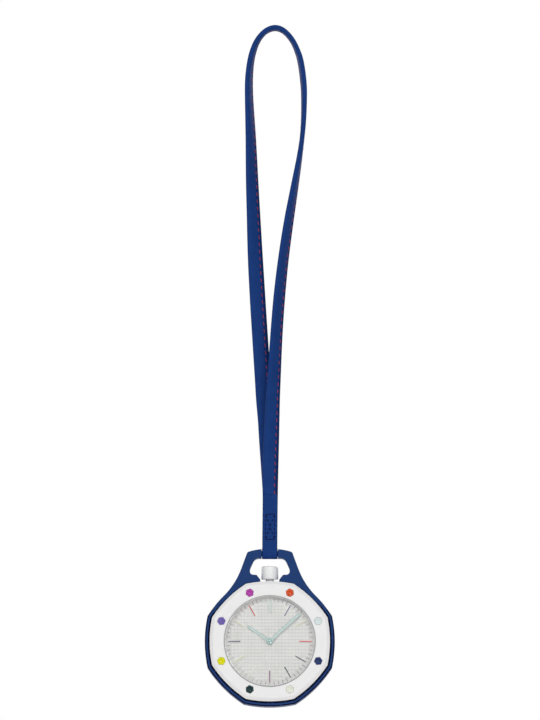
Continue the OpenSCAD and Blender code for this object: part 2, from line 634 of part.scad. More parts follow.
// ---- plate and bridges ----
foot = 0.85;
module post_holes(spots) { for (p = spots) at(p) rod(0.35 + fit_g, 0, z_plate + 0.9, 32); }
barrel_edge = [[-16, -7.4], [-11, -7.4], [-8.2, -5.6], [-3.6, -3.3], [-0.9, -1.9], [1.5, -1.1], [1.9, 1.2],
  [2.6, 4.5], [4.6, 9.2], [6, 16], [-16, 16]];
barrel_edge_r = [0, 1.2, 2, 2, 1.2, 0.8, 1, 2, 2, 0, 0];
train_edge = [[-16, -16], [16, -16], [16, -1.2], [11.2, -1.1], [9.4, 0.3], [6.9, 0.2], [3.6, -0.9], [1.6, -1.5],
  [-0.8, -2.3], [-3.6, -3.7], [-8.1, -6], [-10.8, -7.8], [-16, -7.8]];
train_edge_r = [0, 0, 0, 1, 0.9, 0.8, 1.5, 1, 1.2, 2, 2, 1.2, 0];
module bridge(edge, radii, spots) {
  difference() {
    union() {
      intersection() {
        rod(plate_r - 0.1, z_bridge, z_bridge_in, 180);
        lift(z_bridge - eps) linear_extrude(3) polygon(rounded(edge, radii));
      }
      for (p = spots) at(p) rod(foot, z_bridge_in - 0.1, z_plate);
    }
    post_holes(spots);
  }
}
module barrel_bridge() {
  color(plate_colour) plan() difference() {
    union() {
      bridge(barrel_edge, barrel_edge_r, post_barrel);
      at(at_crown_wheel) rod(0.9, z_ratchet, z_bridge + 0.1, 64);
      at(at_click) rod(0.35, z_ratchet + 0.05, z_bridge + 0.1, 32);
    }
    at(at_barrel) rod(0.62 + run_g, 0, 4);
    at(at_centre) rod(jewel_r + fit_g, 0, 4);
    // room for the winding pinion
    translate([-pinion_room, wind_0 - 0.1, z_bridge + 0.2]) cube([2 * pinion_room, 1.8, 2]);
    translate([-pinion_room, wind_0 - 0.1, z_bridge - eps]) cube([2 * pinion_room, 1.8, 1.2]);
    translate([-1.55, slide_0 - 1.2, z_stem - 1.34]) cube([3.1, 3, 2]);
  }
}
module train_bridge() {
  color(plate_colour) plan() difference() {
    bridge(train_edge, train_edge_r, post_train);
    for (p = [at_third, at_fourth, at_escape]) at(p) rod(jewel_r + fit_g, 0, 4);
  }
}
cock_turn = heading(at_centre, at_balance);
z_cock = 2.1;
module cock_foot_hole() { rotate([0, 0, cock_turn]) for (s = [-1, 1]) translate([plate_r - 1.05, s * 2.6, 0]) children(); }
module balance_cock() {
  color(plate_colour) plan() difference() {
    union() {
      lift(z_bridge) linear_extrude(z_cock - z_bridge) polygon(concat(
        arc([0, 0], plate_r - 0.1, cock_turn - 19, cock_turn + 19, 10),
        arc(at_balance, 1.35, cock_turn + 100, cock_turn + 260, 10)));
      difference() {
        lift(z_cock - 0.1) linear_extrude(z_plate - z_cock + 0.1) polygon(concat(
          arc([0, 0], plate_r - 0.1, cock_turn - 19, cock_turn + 19, 10),
          arc([0, 0], plate_r - 1.8, cock_turn + 17, cock_turn - 17, 6)));
        at(at_balance) rod(balance_r + 0.5, 2, 5, 96);
      }
      // stud that holds the hairspring's outer end
      at(at_balance + polar(spring_r, cock_turn + 6)) rod(0.16, z_cock - 0.1, z_cock + 0.32, 24);
    }
    at(at_balance) rod(jewel_r + fit_g, 0, z_cock + eps);
    cock_foot_hole() rod(0.35 + fit_g, 0, z_plate + 0.9, 32);
  }
}
module main_plate() {
  color(plate_colour) plan() {
    at(at_minute) rod(0.25, z_plate_top - 0.1, z_dial - 0.08, 32);
    at(at_yoke) rod(0.3, z_plate + 0.6, z_plate_top - 0.02, 32);
    at(at_lever) rod(0.3, z_plate + 0.3, z_plate_top - 0.1, 32);
    plate_body();
  }
}
module plate_body() {
  difference() {
    rod(plate_r, z_plate, z_plate_top, 180);
    rod(0.5, z_plate - eps, z_plate_top + eps);
    for (p = [at_third, at_fourth, at_escape, at_pallet, at_balance])
      at(p) rod(jewel_r + fit_g, z_plate - eps, z_plate + 0.8);
    at(at_barrel) rod(0.4 + run_g, z_plate - eps, z_plate_top + eps, 32);
    post_holes(screw_spots);
    cock_foot_hole() rod(0.35 + fit_g, 0, z_plate + 0.9, 32);
    at(at_pallet + [2.6, 0]) rod(0.3, 0, z_plate + 0.9, 32);
    // bed of the stem and its two pinions
    translate([-0.8, 4.95, z_plate - eps]) cube([1.6, 10, eps + 0.1]);
    translate([-pinion_room, wind_0 - 0.1, z_plate - eps]) cube([2 * pinion_room, 1.8, eps + 1.1]);
    translate([-1.5, slide_0 - 0.95, z_plate - eps]) cube([3, 2.1, eps + 0.68]);
    // beds of the setting wheel, yoke and setting lever on the dial side
    at(at_setting) ring(1.08, 0.3, z_plate + 0.6, z_plate_top + eps, 64);
    lift(z_plate + 0.68) linear_extrude(2) polygon(rounded([at_yoke + [-0.95, -1.3], at_yoke + [3.95, -1.2],
      at_yoke + [4.9, 0.5], at_yoke + [4.1, 0.95], at_yoke + [-0.95, 0.95]], [0.6, 0.3, 0.3, 0.3, 0.6]));
    translate([-0.45, slide_0 - 0.6, z_plate]) cube([0.9, 1.5, 2]);
    lift(z_plate + 0.4) linear_extrude(2) polygon(rounded([at_lever + [-3.7, 0], at_lever + [-3.7, 2.5],
      at_lever + [0.3, 1.2], at_lever + [1.05, 0.2], at_lever + [0.3, -0.95], at_lever + [-0.7, -0.95]],
      [0.3, 0.3, 0.5, 0.4, 0.4, 0.3]));
    translate([-0.35, at_lever[1] + 0.2, z_plate - 0.1]) cube([1.1, 2, 2]);
  }
}
module jewels() {
  color(ruby) plan() {
    for (p = [at_third, at_fourth, at_escape]) at(p) ring(jewel_r, pivot_r + run_g, z_bridge, z_bridge + 0.5, 48);
    at(at_centre) ring(jewel_r, 0.28 + run_g, z_bridge, z_bridge + 0.5, 48);
    at(at_balance) ring(jewel_r, pivot_r + run_g, z_bridge, z_cock - 0.1, 48);
    for (p = [at_third, at_fourth, at_escape, at_pallet, at_balance])
      at(p) ring(jewel_r, pivot_r + run_g, z_plate + 0.1, z_plate + 0.8, 48);
  }
}
module slotted(r, h) {
  difference() {
    union() { rod(r, -h, 0, 48); rod(0.35, -0.1, z_plate + 0.85 - z_bridge, 32); }
    translate([-r - 1, -0.1, -h - 1]) cube([2 * r + 2, 0.2, 1 + h / 2]);
  }
}
module bridge_screws() {
  color(steel) plan() {
    for (i = [0:len(screw_spots) - 1]) at(screw_spots[i], z_bridge) rotate([0, 0, 35 * i]) slotted(0.68, 0.28);
    cock_foot_hole() lift(z_bridge) rotate([0, 0, 50]) slotted(0.55, 0.28);
  }
}

// ---- winding, setting and motion work ----
module winding_pinion() {
  color(steel) stand() along_stem(wind_y) difference() {
    linear_extrude(1.5 * mv) polygon(teeth(pinion_teeth, 2 * (z_stem - z_bridge) / 18.8, 0));
    lift(-eps) cylinder(r = stem_radius - 0.12 + run_gap, h = 3, $fn = 48);
  }
}
slide_r = 1.2;
module sliding_pinion() {
  color(steel) stand() along_stem(slide_y) difference() {
    linear_extrude(mv) polygon(teeth(14, 2 * slide_r / 15.8, 0));
    lift(0.4 * mv) difference() { cylinder(r = 3, h = 0.3 * mv, $fn = 48); lift(-1) cylinder(r = 0.8, h = 3, $fn = 48); }
    lift(-eps) cylinder(r = stem_radius - 0.12 + fit_gap, h = 3, $fn = 4);
  }
}
module yoke() {
  color(steel) plan() at(at_yoke) difference() {
    union() {
      lift(z_plate + 0.72) linear_extrude(0.4) polygon(rounded([[-0.7, -0.7], [3.4, -0.2], [4.05, -0.1],
        [4.05, 0.4], [3.4, 0.4], [0.6, 0.75], [-0.7, 0.7]], [0.6, 0.3, 0.15, 0.15, 0.5, 0.5, 0.6]));
      translate([3.7, slide_0 + 0.55 - at_yoke[1], 0]) rod(0.1, z_stem + 0.85, z_plate + 0.9, 24);
    }
    rod(0.3 + run_g, z_plate, 6, 32);
  }
}
module setting_lever() {
  color(steel) plan() at(at_lever) difference() {
    union() {
      lift(z_plate + 0.45) linear_extrude(0.4) polygon(rounded([[-3.3, 0.4], [-3.3, 0.95], [-2.4, 0.95], [0.2, 0.75],
        [0.75, 0], [0.2, -0.65], [-0.6, -0.5], [-1.8, 0.2]], [0.15, 0.15, 0.3, 0.4, 0.5, 0.3, 0.5, 1]));
      translate([-at_lever[0], 10.225 - at_lever[1], 0]) rod(0.15, z_stem + 0.33, z_plate + 0.6, 24);
    }
    rod(0.3 + run_g, z_plate, 6, 32);
  }
}
module setting_wheel() {
  color(steel) plan() at(at_setting) difference() {
    gear(setting_teeth, motion_mod, z_plate + 0.68, z_plate_top + 0.2, mesh(at_minute, at_setting, setting_teeth));
    rod(0.3 + run_g, 3, 6, 32);
  }
}
module cannon_pinion() {
  color(steel) plan() difference() {
    union() {
      gear(cannon_teeth, motion_mod, z_plate_top + 0.04, z_plate_top + 0.24, heading(at_centre, at_minute));
      rod(0.47, z_plate_top + 0.04, z_minute + hand_height + 0.12, 48);
    }
    rod(0.28 + run_g, 0, z_minute + 1, 48);
  }
}
module minute_wheel() {
  color(brass) plan() at(at_minute) difference() {
    union() {
      gear(minute_teeth, motion_mod, z_plate_top + 0.04, z_plate_top + 0.19, mesh(at_centre, at_minute, minute_teeth));
      gear(minute_leaves, hour_mod, z_plate_top + 0.19, z_dial - 0.06, heading(at_minute, at_centre));
    }
    rod(0.25 + run_g, 3, 7, 32);
  }
}
module hour_wheel() {
  color(brass) plan() difference() {
    union() {
      gear(hour_teeth, hour_mod, z_plate_top + 0.3, z_plate_top + 0.45, mesh(at_minute, at_centre, hour_teeth));
      rod(0.72, z_plate_top + 0.3, z_hour + hand_height + 0.06, 48);
    }
    rod(0.47 + run_g, 3, 9, 48);
  }
}

// ---- dial and hands ----
module dial() {
  color([0.85, 0.85, 0.85]) stand() difference() {
    rod(dial_radius, z_dial, z_dial_top, 180);
    rod(0.85 * mv, z_dial - eps, z_dial_top + eps);
  }
}
module baton(a, side = 0) {
  rotate([0, 0, 90 - a]) translate([marker_inner, side - marker_width / 2, z_dial_top])
    cube([marker_outer - marker_inner, marker_width, marker_height]);
}
module hour_markers() {
  color([0.8, 0.8, 0.82]) stand() {
    for (k = [1:11]) baton(30 * k);
    baton(0, -0.75 * marker_width);
    baton(0, 0.75 * marker_width);
  }
}
module hand(length, tail, hub, bore, z, a) {
  w = hand_width / 2;
  rotate([0, 0, 90 - a]) difference() {
    union() {
      lift(z) linear_extrude(hand_height) polygon(rounded([[-tail, -w], [length, -w], [length, w], [-tail, w]],
        [w * 0.9, w * 0.9, w * 0.9, w * 0.9], 8));
      rod(hub, z, z + hand_height, 64);
    }
    rod(bore, z - eps, z + 1, 48);
    // sunk middle that takes the luminous fill
    lift(z + hand_height - 0.05) linear_extrude(1) polygon(rounded([[hub + 0.35, -w + 0.27],
      [length - 0.35, -w + 0.27], [length - 0.35, w - 0.27], [hub + 0.35, w - 0.27]],
      [0.2, 0.2, 0.2, 0.2], 6));
  }
}
hour_angle = 30 * hour_shown;
minute_angle = 6 * minute_shown;
module hour_hand() { color([0.62, 0.85, 0.80]) stand() hand(hour_length, 0.6, 1.2 * mv, 0.72 * mv + fit_gap, z_hour, hour_angle); }
module minute_hand() { color([0.62, 0.85, 0.80]) stand() hand(minute_length, 0.6, 1.05 * mv, 0.47 * mv + fit_gap, z_minute, minute_angle); }

// ---- lanyard ----
// Stations along the strap from the bar, behind, over the loop and down in front:
// [x, y from the bar's plane, height above the bar, turn of its width about z]
fold_r = neck_radius + fold_gap + ply_thick / 2;
y_bar = -z_bar;
stations = [
  [0, 0, 2.6, 0], [0.04, 0, 7, 0], [0.08, 0, 12, 0], [0.12, 0.05, 15.6, 0], [0.14, 0.45, 18, 0], [0.12, 0.65, 20.5, 0],
  [-0.05, 0.75, 24, 0], [-0.48, 0.9, 31, 1], [-0.91, 1.1, 37, 2], [-1.34, 1.3, 44, 3], [-1.91, 1.4, 50.5, 4],
  [-2.31, 1.4, 57, 5], [-3.14, 1.3, 70, 8], [-3.98, 1, 83, 13], [-4.76, 0.8, 96.5, 24], [-5.37, 0.6, 110, 38],
  [-5.89, 0.3, 123, 48], [-6.28, 0.2, 136, 59], [-6.8, 0.1, 149, 69], [-6.84, 0, 156, 73], [-6.24, 0, 162, 78],
  [-5.3, 0, 165.8, 81], [-3.9, 0, 169, 85], [-1.5, 0, 171.8, 90], [1.6, 0, 173, 90], [4.6, 0, 172, 90],
  [7.3, 0, 169, 92], [8.95, 0, 165.6, 95], [10.06, 0, 162, 98], [10.93, 0, 156, 99], [11.22, 0, 149, 97],
  [10.5, -0.2, 136, 90], [8.5, -0.3, 123, 77], [6.28, -0.7, 110, 65], [4.35, -1.1, 96.5, 59], [2.92, -1.4, 83, 53],
  [1.98, -1.6, 70, 49], [1.26, -1.7, 57, 41], [0.92, -1.7, 50.5, 36], [0.68, -1.6, 44, 29], [0.45, -1.4, 37, 21],
  [0.26, -1.3, 31, 12], [0.17, -1.25, 24, 3], [0.15, -1.2, 20.5, 0]];
rear_leg = [for (p = stations) let (k = loop_height / 173) [k * p[0], p[1], bar_level + k * p[2], p[3]]];
function mid(a, b) = (a + b) / 2;
// Midpoint of the smooth curve through four stations
function smooth_mid(p, i) = let (a = p[max(0, i - 1)], b = p[i], c = p[i + 1], d = p[min(len(p) - 1, i + 2)])
  (9 * (b + c) - a - d) / 16;
double_part = [for (i = [0:len(rear_leg) - 1]) each
  (i >= 6 && i < len(rear_leg) - 1 && i != 12 && i != 30) ? [rear_leg[i], smooth_mid(rear_leg, i)] : [rear_leg[i]]];
// Lean of the strap's lower end to the right, at this height over the bar
function lean(z) = max(0, z - 3) / 110;
ply_part = [for (z = [18.6, 15, 9, 3, 0.6]) [lean(z), -fold_r, bar_level + z, 0]];
fold_part = [for (a = [0:30:180]) [0, -fold_r * cos(a), bar_level - fold_r * sin(a), 0]];
back_part = [for (z = [0.6, 5, 11, 15.2]) [lean(z), fold_r, bar_level + z, 0]];
route = concat(double_part, ply_part, fold_part, back_part);
double_count = len(double_part);
function ring_thick(i) = i < double_count ? strap_thick : ply_thick;
function ring_wide(i) = strap_width + (i < double_count ? loop_swell * min(1, max(0, (route[i][2] - bar_level - 16) / 14)) : 0);
function spot(i) = [route[i][0], y_bar + route[i][1], route[i][2]];
function tangent(i) = unit(spot(min(len(route) - 1, i + 1)) - spot(max(0, i - 1)));
function across(i) = let (t = tangent(i), w = [cos(route[i][3]), sin(route[i][3]), 0]) unit(w - (w * t) * t);
function section(w, h, c) = [[w, -h + c], [w, h - c], [w - c, h], [-w + c, h], [-w, h - c], [-w, -h + c],
  [-w + c, -h], [w - c, -h]];
strap_rings = [for (i = [0:len(route) - 1]) let (w = across(i), n = cross(tangent(i), w), h = ring_thick(i) / 2)
  for (q = section(ring_wide(i) / 2, h, 0.6 * h)) spot(i) + q[0] * w + q[1] * n];
module lanyard_strap() {
  m = len(route);
  color(strap_colour) polyhedron(strap_rings, concat([[for (k = [0:7]) k]],
    [for (i = [0:m - 2]) for (k = [0:7]) each [
      [8 * i + k, 8 * (i + 1) + k, 8 * i + (k + 1) % 8],
      [8 * (i + 1) + k, 8 * (i + 1) + (k + 1) % 8, 8 * i + (k + 1) % 8]]],
    [[for (k = [7:-1:0]) 8 * (m - 1) + k]]));
}

lanyard_strap();
holder_frame();
mid_case();
bezel();
bezel_screw_1();
bezel_screw_2();
bezel_screw_3();
bezel_screw_4();
bezel_screw_5();
bezel_screw_6();
bezel_screw_7();
bezel_screw_8();
front_crystal();
crystal_gasket();
bezel_gasket();
case_back();
back_crystal();
back_gasket();
crown_tube();
crown();
crown_gasket();
winding_stem();
dial();
hour_markers();
hour_hand();
minute_hand();
main_plate();
barrel_bridge();
train_bridge();
pallet_bridge();
balance_cock();
barrel();
mainspring();
barrel_arbor();
ratchet_wheel();
crown_wheel();
click();
click_spring();
centre_wheel();
third_wheel();
fourth_wheel();
escape_wheel();
pallet_fork();
balance_wheel();
hairspring();
cannon_pinion();
minute_wheel();
hour_wheel();
winding_pinion();
sliding_pinion();
setting_lever();
yoke();
setting_wheel();
jewels();
bridge_screws();
casing_ring();
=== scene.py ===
# %% [markdown]
# # A fob watch on a leather lanyard
# The solids of this watch come from its CAD source as a fixed frame, at their
# real size and place. This lesson gives them their looks in Blender: leather,
# lacquer, glass, a grained dial and a finished movement.
# Nothing in the frame is moved. A piece either keeps its CAD mesh and gets a
# material, or a finer copy takes its place and rides on the same body.

# %% Load the frame
import math

import bmesh
import bpy
import numpy as np
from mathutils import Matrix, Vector


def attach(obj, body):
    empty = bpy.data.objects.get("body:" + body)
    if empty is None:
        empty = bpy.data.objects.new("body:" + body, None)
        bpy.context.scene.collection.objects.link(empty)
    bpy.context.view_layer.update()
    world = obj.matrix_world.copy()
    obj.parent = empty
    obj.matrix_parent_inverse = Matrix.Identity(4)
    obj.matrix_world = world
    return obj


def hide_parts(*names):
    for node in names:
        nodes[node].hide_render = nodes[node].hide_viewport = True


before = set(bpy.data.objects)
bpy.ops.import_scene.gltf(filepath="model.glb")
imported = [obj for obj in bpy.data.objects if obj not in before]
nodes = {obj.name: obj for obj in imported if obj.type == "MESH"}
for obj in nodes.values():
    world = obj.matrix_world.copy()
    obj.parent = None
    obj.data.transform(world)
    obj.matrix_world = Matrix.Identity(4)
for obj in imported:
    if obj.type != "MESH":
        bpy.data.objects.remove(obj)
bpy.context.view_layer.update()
scene = bpy.context.scene
MM = 0.001

# %% [markdown]
# ## The camera
# The watch is seen from the front and a few degrees below, so that the
# holder's lower edge and the upper wall of the bezel's window both show. A
# long lens far away keeps near and far parts at almost the same scale. The
# distance follows from the lens and from the height in view.

# %% Camera
VIEW_HEIGHT, LENS, SENSOR = 0.2369, 400, 36
VIEW_CENTRE = Vector((0.00007, -0.004, 0.0931))
LOOK_UP = math.radians(7)
camera = bpy.data.objects.new("camera", bpy.data.cameras.new("camera"))
scene.collection.objects.link(camera)
camera.data.lens, camera.data.sensor_width, camera.data.clip_end = LENS, SENSOR, 50
distance = VIEW_HEIGHT * LENS / SENSOR
camera.location = VIEW_CENTRE - Vector((0, math.cos(LOOK_UP), math.sin(LOOK_UP))) * distance
camera.rotation_euler = (math.pi / 2 + LOOK_UP, 0, 0)
scene.camera = camera
print("camera stands", round(distance, 2), "m away")

# %% [markdown]
# ## Helpers
# Every mesh here is written in the frame's own metres, at the origin, so a
# finished piece needs no move. `head_point` turns the watchmaker's view of the
# head (right, up, height from the case back, in mm) into the frame's metres.
# Straps, crowns and caps are all rows of points joined by quads, so one
# function joins them, and one stores a value on each point for the materials.

# %% Helpers for meshes
def head_point(x, y, z):
    return Vector((x, -z, y)) * MM


def mesh_of(name, points, faces, smooth=False):
    mesh = bpy.data.meshes.new(name)
    mesh.from_pydata([tuple(p) for p in points], [], faces)
    if smooth:
        mesh.shade_smooth()
    return mesh


def ring_faces(count, rows, closed=False):
    """Quads between rows of count points. The end rows get caps, or meet each other if closed."""
    faces = [(count * i + k, count * i + (k + 1) % count, count * j + (k + 1) % count, count * j + k)
        for i in range(rows if closed else rows - 1) for j in [(i + 1) % rows] for k in range(count)]
    caps = [tuple(range(count))[::-1], tuple(count * (rows - 1) + k for k in range(count))]
    return faces if closed else faces + caps


def mark(mesh, name, values, kind="FLOAT"):
    """Stores one value, vector or colour for each point under this name."""
    layer = mesh.attributes.new(name, kind, "POINT")
    key = {"FLOAT": "value", "FLOAT_VECTOR": "vector", "FLOAT_COLOR": "color"}[kind]
    layer.data.foreach_set(key, np.array(values, dtype=np.float32).ravel())

# %% [markdown]
# Each piece is an object at the origin that rides on a body of the frame and
# hides the CAD nodes it stands for. A piece made with modifiers is turned into
# plain mesh before that.

# %% Helpers for pieces
def show(name, mesh, material=None):
    """An object of this mesh at the origin."""
    mesh.name = name
    piece = bpy.data.objects.new(name, mesh)
    scene.collection.objects.link(piece)
    if material:
        mesh.materials.clear()
        mesh.materials.append(material)
    return piece


def place(piece, body, slot, *stands_for):
    """Lets a piece ride on its body and stand for CAD nodes, which it hides. The slot is not used."""
    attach(piece, body)
    if stands_for:
        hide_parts(*stands_for)
    print(piece.name + ":", len(piece.data.polygons), "faces on", body)


def make_plain(piece):
    """Turns what a piece's modifiers make into its own mesh, and removes them."""
    graph = bpy.context.evaluated_depsgraph_get()
    mesh = bpy.data.meshes.new_from_object(piece.evaluated_get(graph), preserve_all_data_layers=True,
        depsgraph=graph)
    piece.modifiers.clear()
    piece.data = mesh
    mesh.name = piece.name

# %% [markdown]
# Shader and geometry trees are both graphs of nodes, so one small function
# adds a node to either: an input is given a value, or the socket that feeds
# it. `tree` is always the tree now being built; `new_tree` and `new_material`
# each begin one. `calc` takes a sum as a line and makes its Math nodes.

# %% Helpers for node trees
ALONE = ("FRACT", "ROUND", "FLOOR", "SINE")
SIGNS = {"+": "ADD", "-": "SUBTRACT", "*": "MULTIPLY", "/": "DIVIDE"}


def put(kind, inputs=None, **settings):
    """Adds a node and returns its outputs."""
    node = tree.nodes.new(kind)
    for key, value in settings.items():
        setattr(node, key, value)
    for key, value in (inputs or {}).items():
        if isinstance(value, bpy.types.NodeSocket):
            tree.links.new(value, node.inputs[key])
        else:
            node.inputs[key].default_value = value
    return node.outputs


def calc(value, *steps, clamp=False):
    """Takes a value through steps from left to right, as in calc(x, "-", 0.5, "*", 2.0)."""
    steps = list(steps)
    while steps:
        sign = steps.pop(0)
        other = 0.0 if sign in ALONE else steps.pop(0)
        value = put("ShaderNodeMath", {0: value, 1: other}, operation=SIGNS.get(sign, sign),
            use_clamp=clamp and not steps)[0]
    return value


def new_tree(name, values, outputs=()):
    """A node group with named sockets: a shader group that gives numbers or, if no outputs are named,
    a geometry tree. Returns the sockets its inputs arrive on and those its outputs leave by."""
    global tree
    tree = bpy.data.node_groups.new(name, "ShaderNodeTree" if outputs else "GeometryNodeTree")

    def socket(label, side, kind):
        return tree.interface.new_socket(label, in_out=side, socket_type="NodeSocket" + kind)
    if not outputs:
        for label, side in (("Guides", "INPUT"), ("Geometry", "OUTPUT")):
            socket(label, side, "Geometry")
        socket("Material", "INPUT", "Material")
    for label, value in values.items():
        kind = {float: "Float", int: "Int", tuple: "Vector"}[type(value)]
        socket(label, "INPUT", kind).default_value = value
    for label in outputs:
        socket(label, "OUTPUT", "Float")
    return tree.nodes.new("NodeGroupInput").outputs, tree.nodes.new("NodeGroupOutput").inputs

# %% [markdown]
# ## Effects that many finishes share
# Real surfaces are never one flat colour: lacquer has a fine orange peel,
# leather has pores and creases, edges catch wear, and a movement is striped.
# The same edge mask also paints shade and highlight on bevels.
# Each such effect is a shader group. It gives out heights, masks and values
# only, and each material decides what they do to its colour and gloss.

# %% Parts of the shader groups
def here():
    return put("ShaderNodeTexCoord")["Object"]


def noise(scale, detail, roughness=0.5, at=None):
    return put("ShaderNodeTexNoise", {"Vector": at or here(), "Scale": scale, "Detail": detail,
        "Roughness": roughness})


def stretch(value, low, high, to_low=0.0, to_high=1.0, way="LINEAR"):
    """Maps the range low to high onto another."""
    return put("ShaderNodeMapRange", {"Value": value, "From Min": low, "From Max": high,
        "To Min": to_low, "To Max": to_high}, interpolation_type=way)["Result"]


def vector(operation, a, b=(0.0, 0.0, 0.0)):
    return put("ShaderNodeVectorMath", {0: a, 1: b}, operation=operation)


def give(out, **sockets):
    """Links what the tree has made to its outputs, and returns the finished tree."""
    for label, socket in sockets.items():
        tree.links.new(socket, out[label])
    print("tree:", tree.name, "of", len(tree.nodes), "nodes")
    return tree

# %% Group: fine grain
given, out = new_tree("fine grain", {"Scale": 6000.0, "Low": 0.3, "High": 0.5}, ("Value", "Height", "Tone"))
fine = noise(given["Scale"], 5.0, 0.65)["Fac"]
broad = noise(260.0, 4.0, 0.55)["Fac"]
both = calc(fine, "*", 0.6, "+", calc(broad, "*", 0.4))
fine_grain = give(out, Value=stretch(both, 0.35, 0.65, given["Low"], given["High"]), Height=fine,
    Tone=stretch(broad, 0.3, 0.7))

# %% [markdown]
# Leather is a net of creases between small cushions, strewn with pores. A
# Voronoi texture's distance to its cell edges is such a net, and a second,
# finer one gives the pores. They read object coordinates, so the grain keeps
# its real size of about a third of a millimetre wherever the strap turns.

# %% Group: leather grain
given, out = new_tree("leather grain", {"Crease Scale": 2600.0, "Pore Scale": 5200.0}, ("Height", "Crease"))
wander = noise(1200.0, 2.0)["Color"]
bent = vector("ADD", here(), vector("MULTIPLY", wander, (0.0003,) * 3)[0])[0]
net = put("ShaderNodeTexVoronoi", {"Vector": bent, "Scale": given["Crease Scale"]},
    feature="DISTANCE_TO_EDGE")
dots = put("ShaderNodeTexVoronoi", {"Vector": bent, "Scale": given["Pore Scale"]}, feature="F1")
crease = stretch(net["Distance"], 0.0, 0.16, 1.0, 0.0, "SMOOTHSTEP")
pore = stretch(dots["Distance"], 0.0, 0.28, 1.0, 0.0, "SMOOTHSTEP")
low = calc(crease, "*", 0.65, "+", calc(pore, "*", 0.35))
leather_grain = give(out, Height=calc(1.0, "-", low), Crease=crease)

# %% [markdown]
# Wear shows first on edges. The bevelled pieces below store 1 on the faces of
# their bevels under the name "edge", and this group breaks that band up with
# noise, so that it looks rubbed and not drawn. Not every finish uses it for
# wear: on the holder, the screws and the hands it paints shade on the bevels,
# and on the case and the markers it paints a highlight.

# %% Group: edge wear
def stored(name, socket="Fac"):
    """What a mesh has stored under this name."""
    return put("ShaderNodeAttribute", attribute_name=name)[socket]


given, out = new_tree("edge wear and painted light", {"Amount": 0.6, "Scale": 900.0}, ("Mask",))
patchy = stretch(noise(given["Scale"], 6.0, 0.7)["Fac"], 0.35, 0.62)
wear_and_light_mask = calc(stored("edge"), "*", patchy, "*", given["Amount"], clamp=True)
edge_wear_and_painted_light = give(out, Mask=wear_and_light_mask)

# %% [markdown]
# A movement's bridges carry straight stripes, made by dragging a round stone
# across them, its wheels carry rings from turning, and its plate is covered in
# overlapping spots, each turned by a small peg. All three are one idea, a
# coordinate repeated, and differ only in which one they repeat.

# %% Group: stripes
given, out = new_tree("stripes", {"Pitch": 0.0013, "Turn": 0.6}, ("Height", "Mask"))
turned = put("ShaderNodeVectorRotate", {"Vector": here(), "Angle": given["Turn"]}, rotation_type="Y_AXIS")[0]
across = put("ShaderNodeSeparateXYZ", {0: turned})["X"]
hollow = calc(across, "/", given["Pitch"], "FRACT", "-", 0.5, "*", 2.0)
squeezed = vector("MULTIPLY", turned, (22000.0, 22000.0, 500.0))[0]
brushed = noise(1.0, 3.0, at=squeezed)["Fac"]
stripes = give(out, Height=calc(hollow, "*", hollow), Mask=brushed)

# %% Group: turned rings
given, out = new_tree("turned rings", {"Centre": (0.0, 0.0, 0.0), "Pitch": 0.0001}, ("Height",))
local = vector("SUBTRACT", here(), given["Centre"])[0]
far = vector("LENGTH", vector("MULTIPLY", local, (1.0, 0.0, 1.0))[0])["Value"]
rings = put("ShaderNodeTexNoise", {"W": calc(far, "/", given["Pitch"]), "Scale": 1.0,
    "Detail": 3.0}, noise_dimensions="1D")
turned_rings = give(out, Height=rings["Fac"])

# %% Group: overlapping spots
given, out = new_tree("overlapping spots", {"Pitch": 0.0009}, ("Height",))
at = put("ShaderNodeSeparateXYZ", {0: here()})
row = calc(at["Z"], "/", given["Pitch"])
odd = calc(row, "FLOOR", "MODULO", 2.0, "*", 0.5)
column = calc(at["X"], "/", given["Pitch"], "+", odd, "FRACT", "-", 0.5)
cell = put("ShaderNodeCombineXYZ", {0: column, 1: calc(row, "FRACT", "-", 0.5)})[0]
far = vector("LENGTH", cell)["Value"]
spots = give(out, Height=calc(far, "*", 48.0, "SINE", "*", 0.25, "+", calc(far, "*", 0.9)))

# %% [markdown]
# ## Finishes
# `finish` makes one Principled material: its colour drifts a little over the
# surface, its gloss follows the grain, and its bevels take an edge colour,
# which is wear on some finishes and painted shade or painted highlight on
# others. Patterns such as leather or stripes replace the grain's height. What
# is the same all over, such as metallic or coat, is set on the shader's own
# socket. A finish with no colour of its own takes the "tint" that its mesh has
# stored.

# %% Build one finish
def colour(rgb):
    """A colour as a designer writes it, 0 to 255, in the light values Blender wants."""
    def light(v):
        v /= 255
        return v / 12.92 if v <= 0.04045 else ((v + 0.055) / 1.055) ** 2.4
    return tuple(light(v) for v in rgb) + (1.0,)


def new_material(name, **plain):
    """A material and its Principled shader. Plain values go on the shader's own sockets."""
    global tree
    material = bpy.data.materials.new(name)
    material.use_nodes = True
    tree = material.node_tree
    shader = tree.nodes["Principled BSDF"]
    for label, value in plain.items():
        shader.inputs[label.replace("_", " ")].default_value = value
    return material, shader


def use(group, **values):
    """Places a shader group with its own values and returns its outputs."""
    return put("ShaderNodeGroup", {k.replace("_", " "): v for k, v in values.items()}, node_tree=group)


def blend_colour(factor, a, b, way="MIX"):
    return put("ShaderNodeMix", {0: factor, 6: a, 7: b}, data_type="RGBA", blend_type=way)[2]


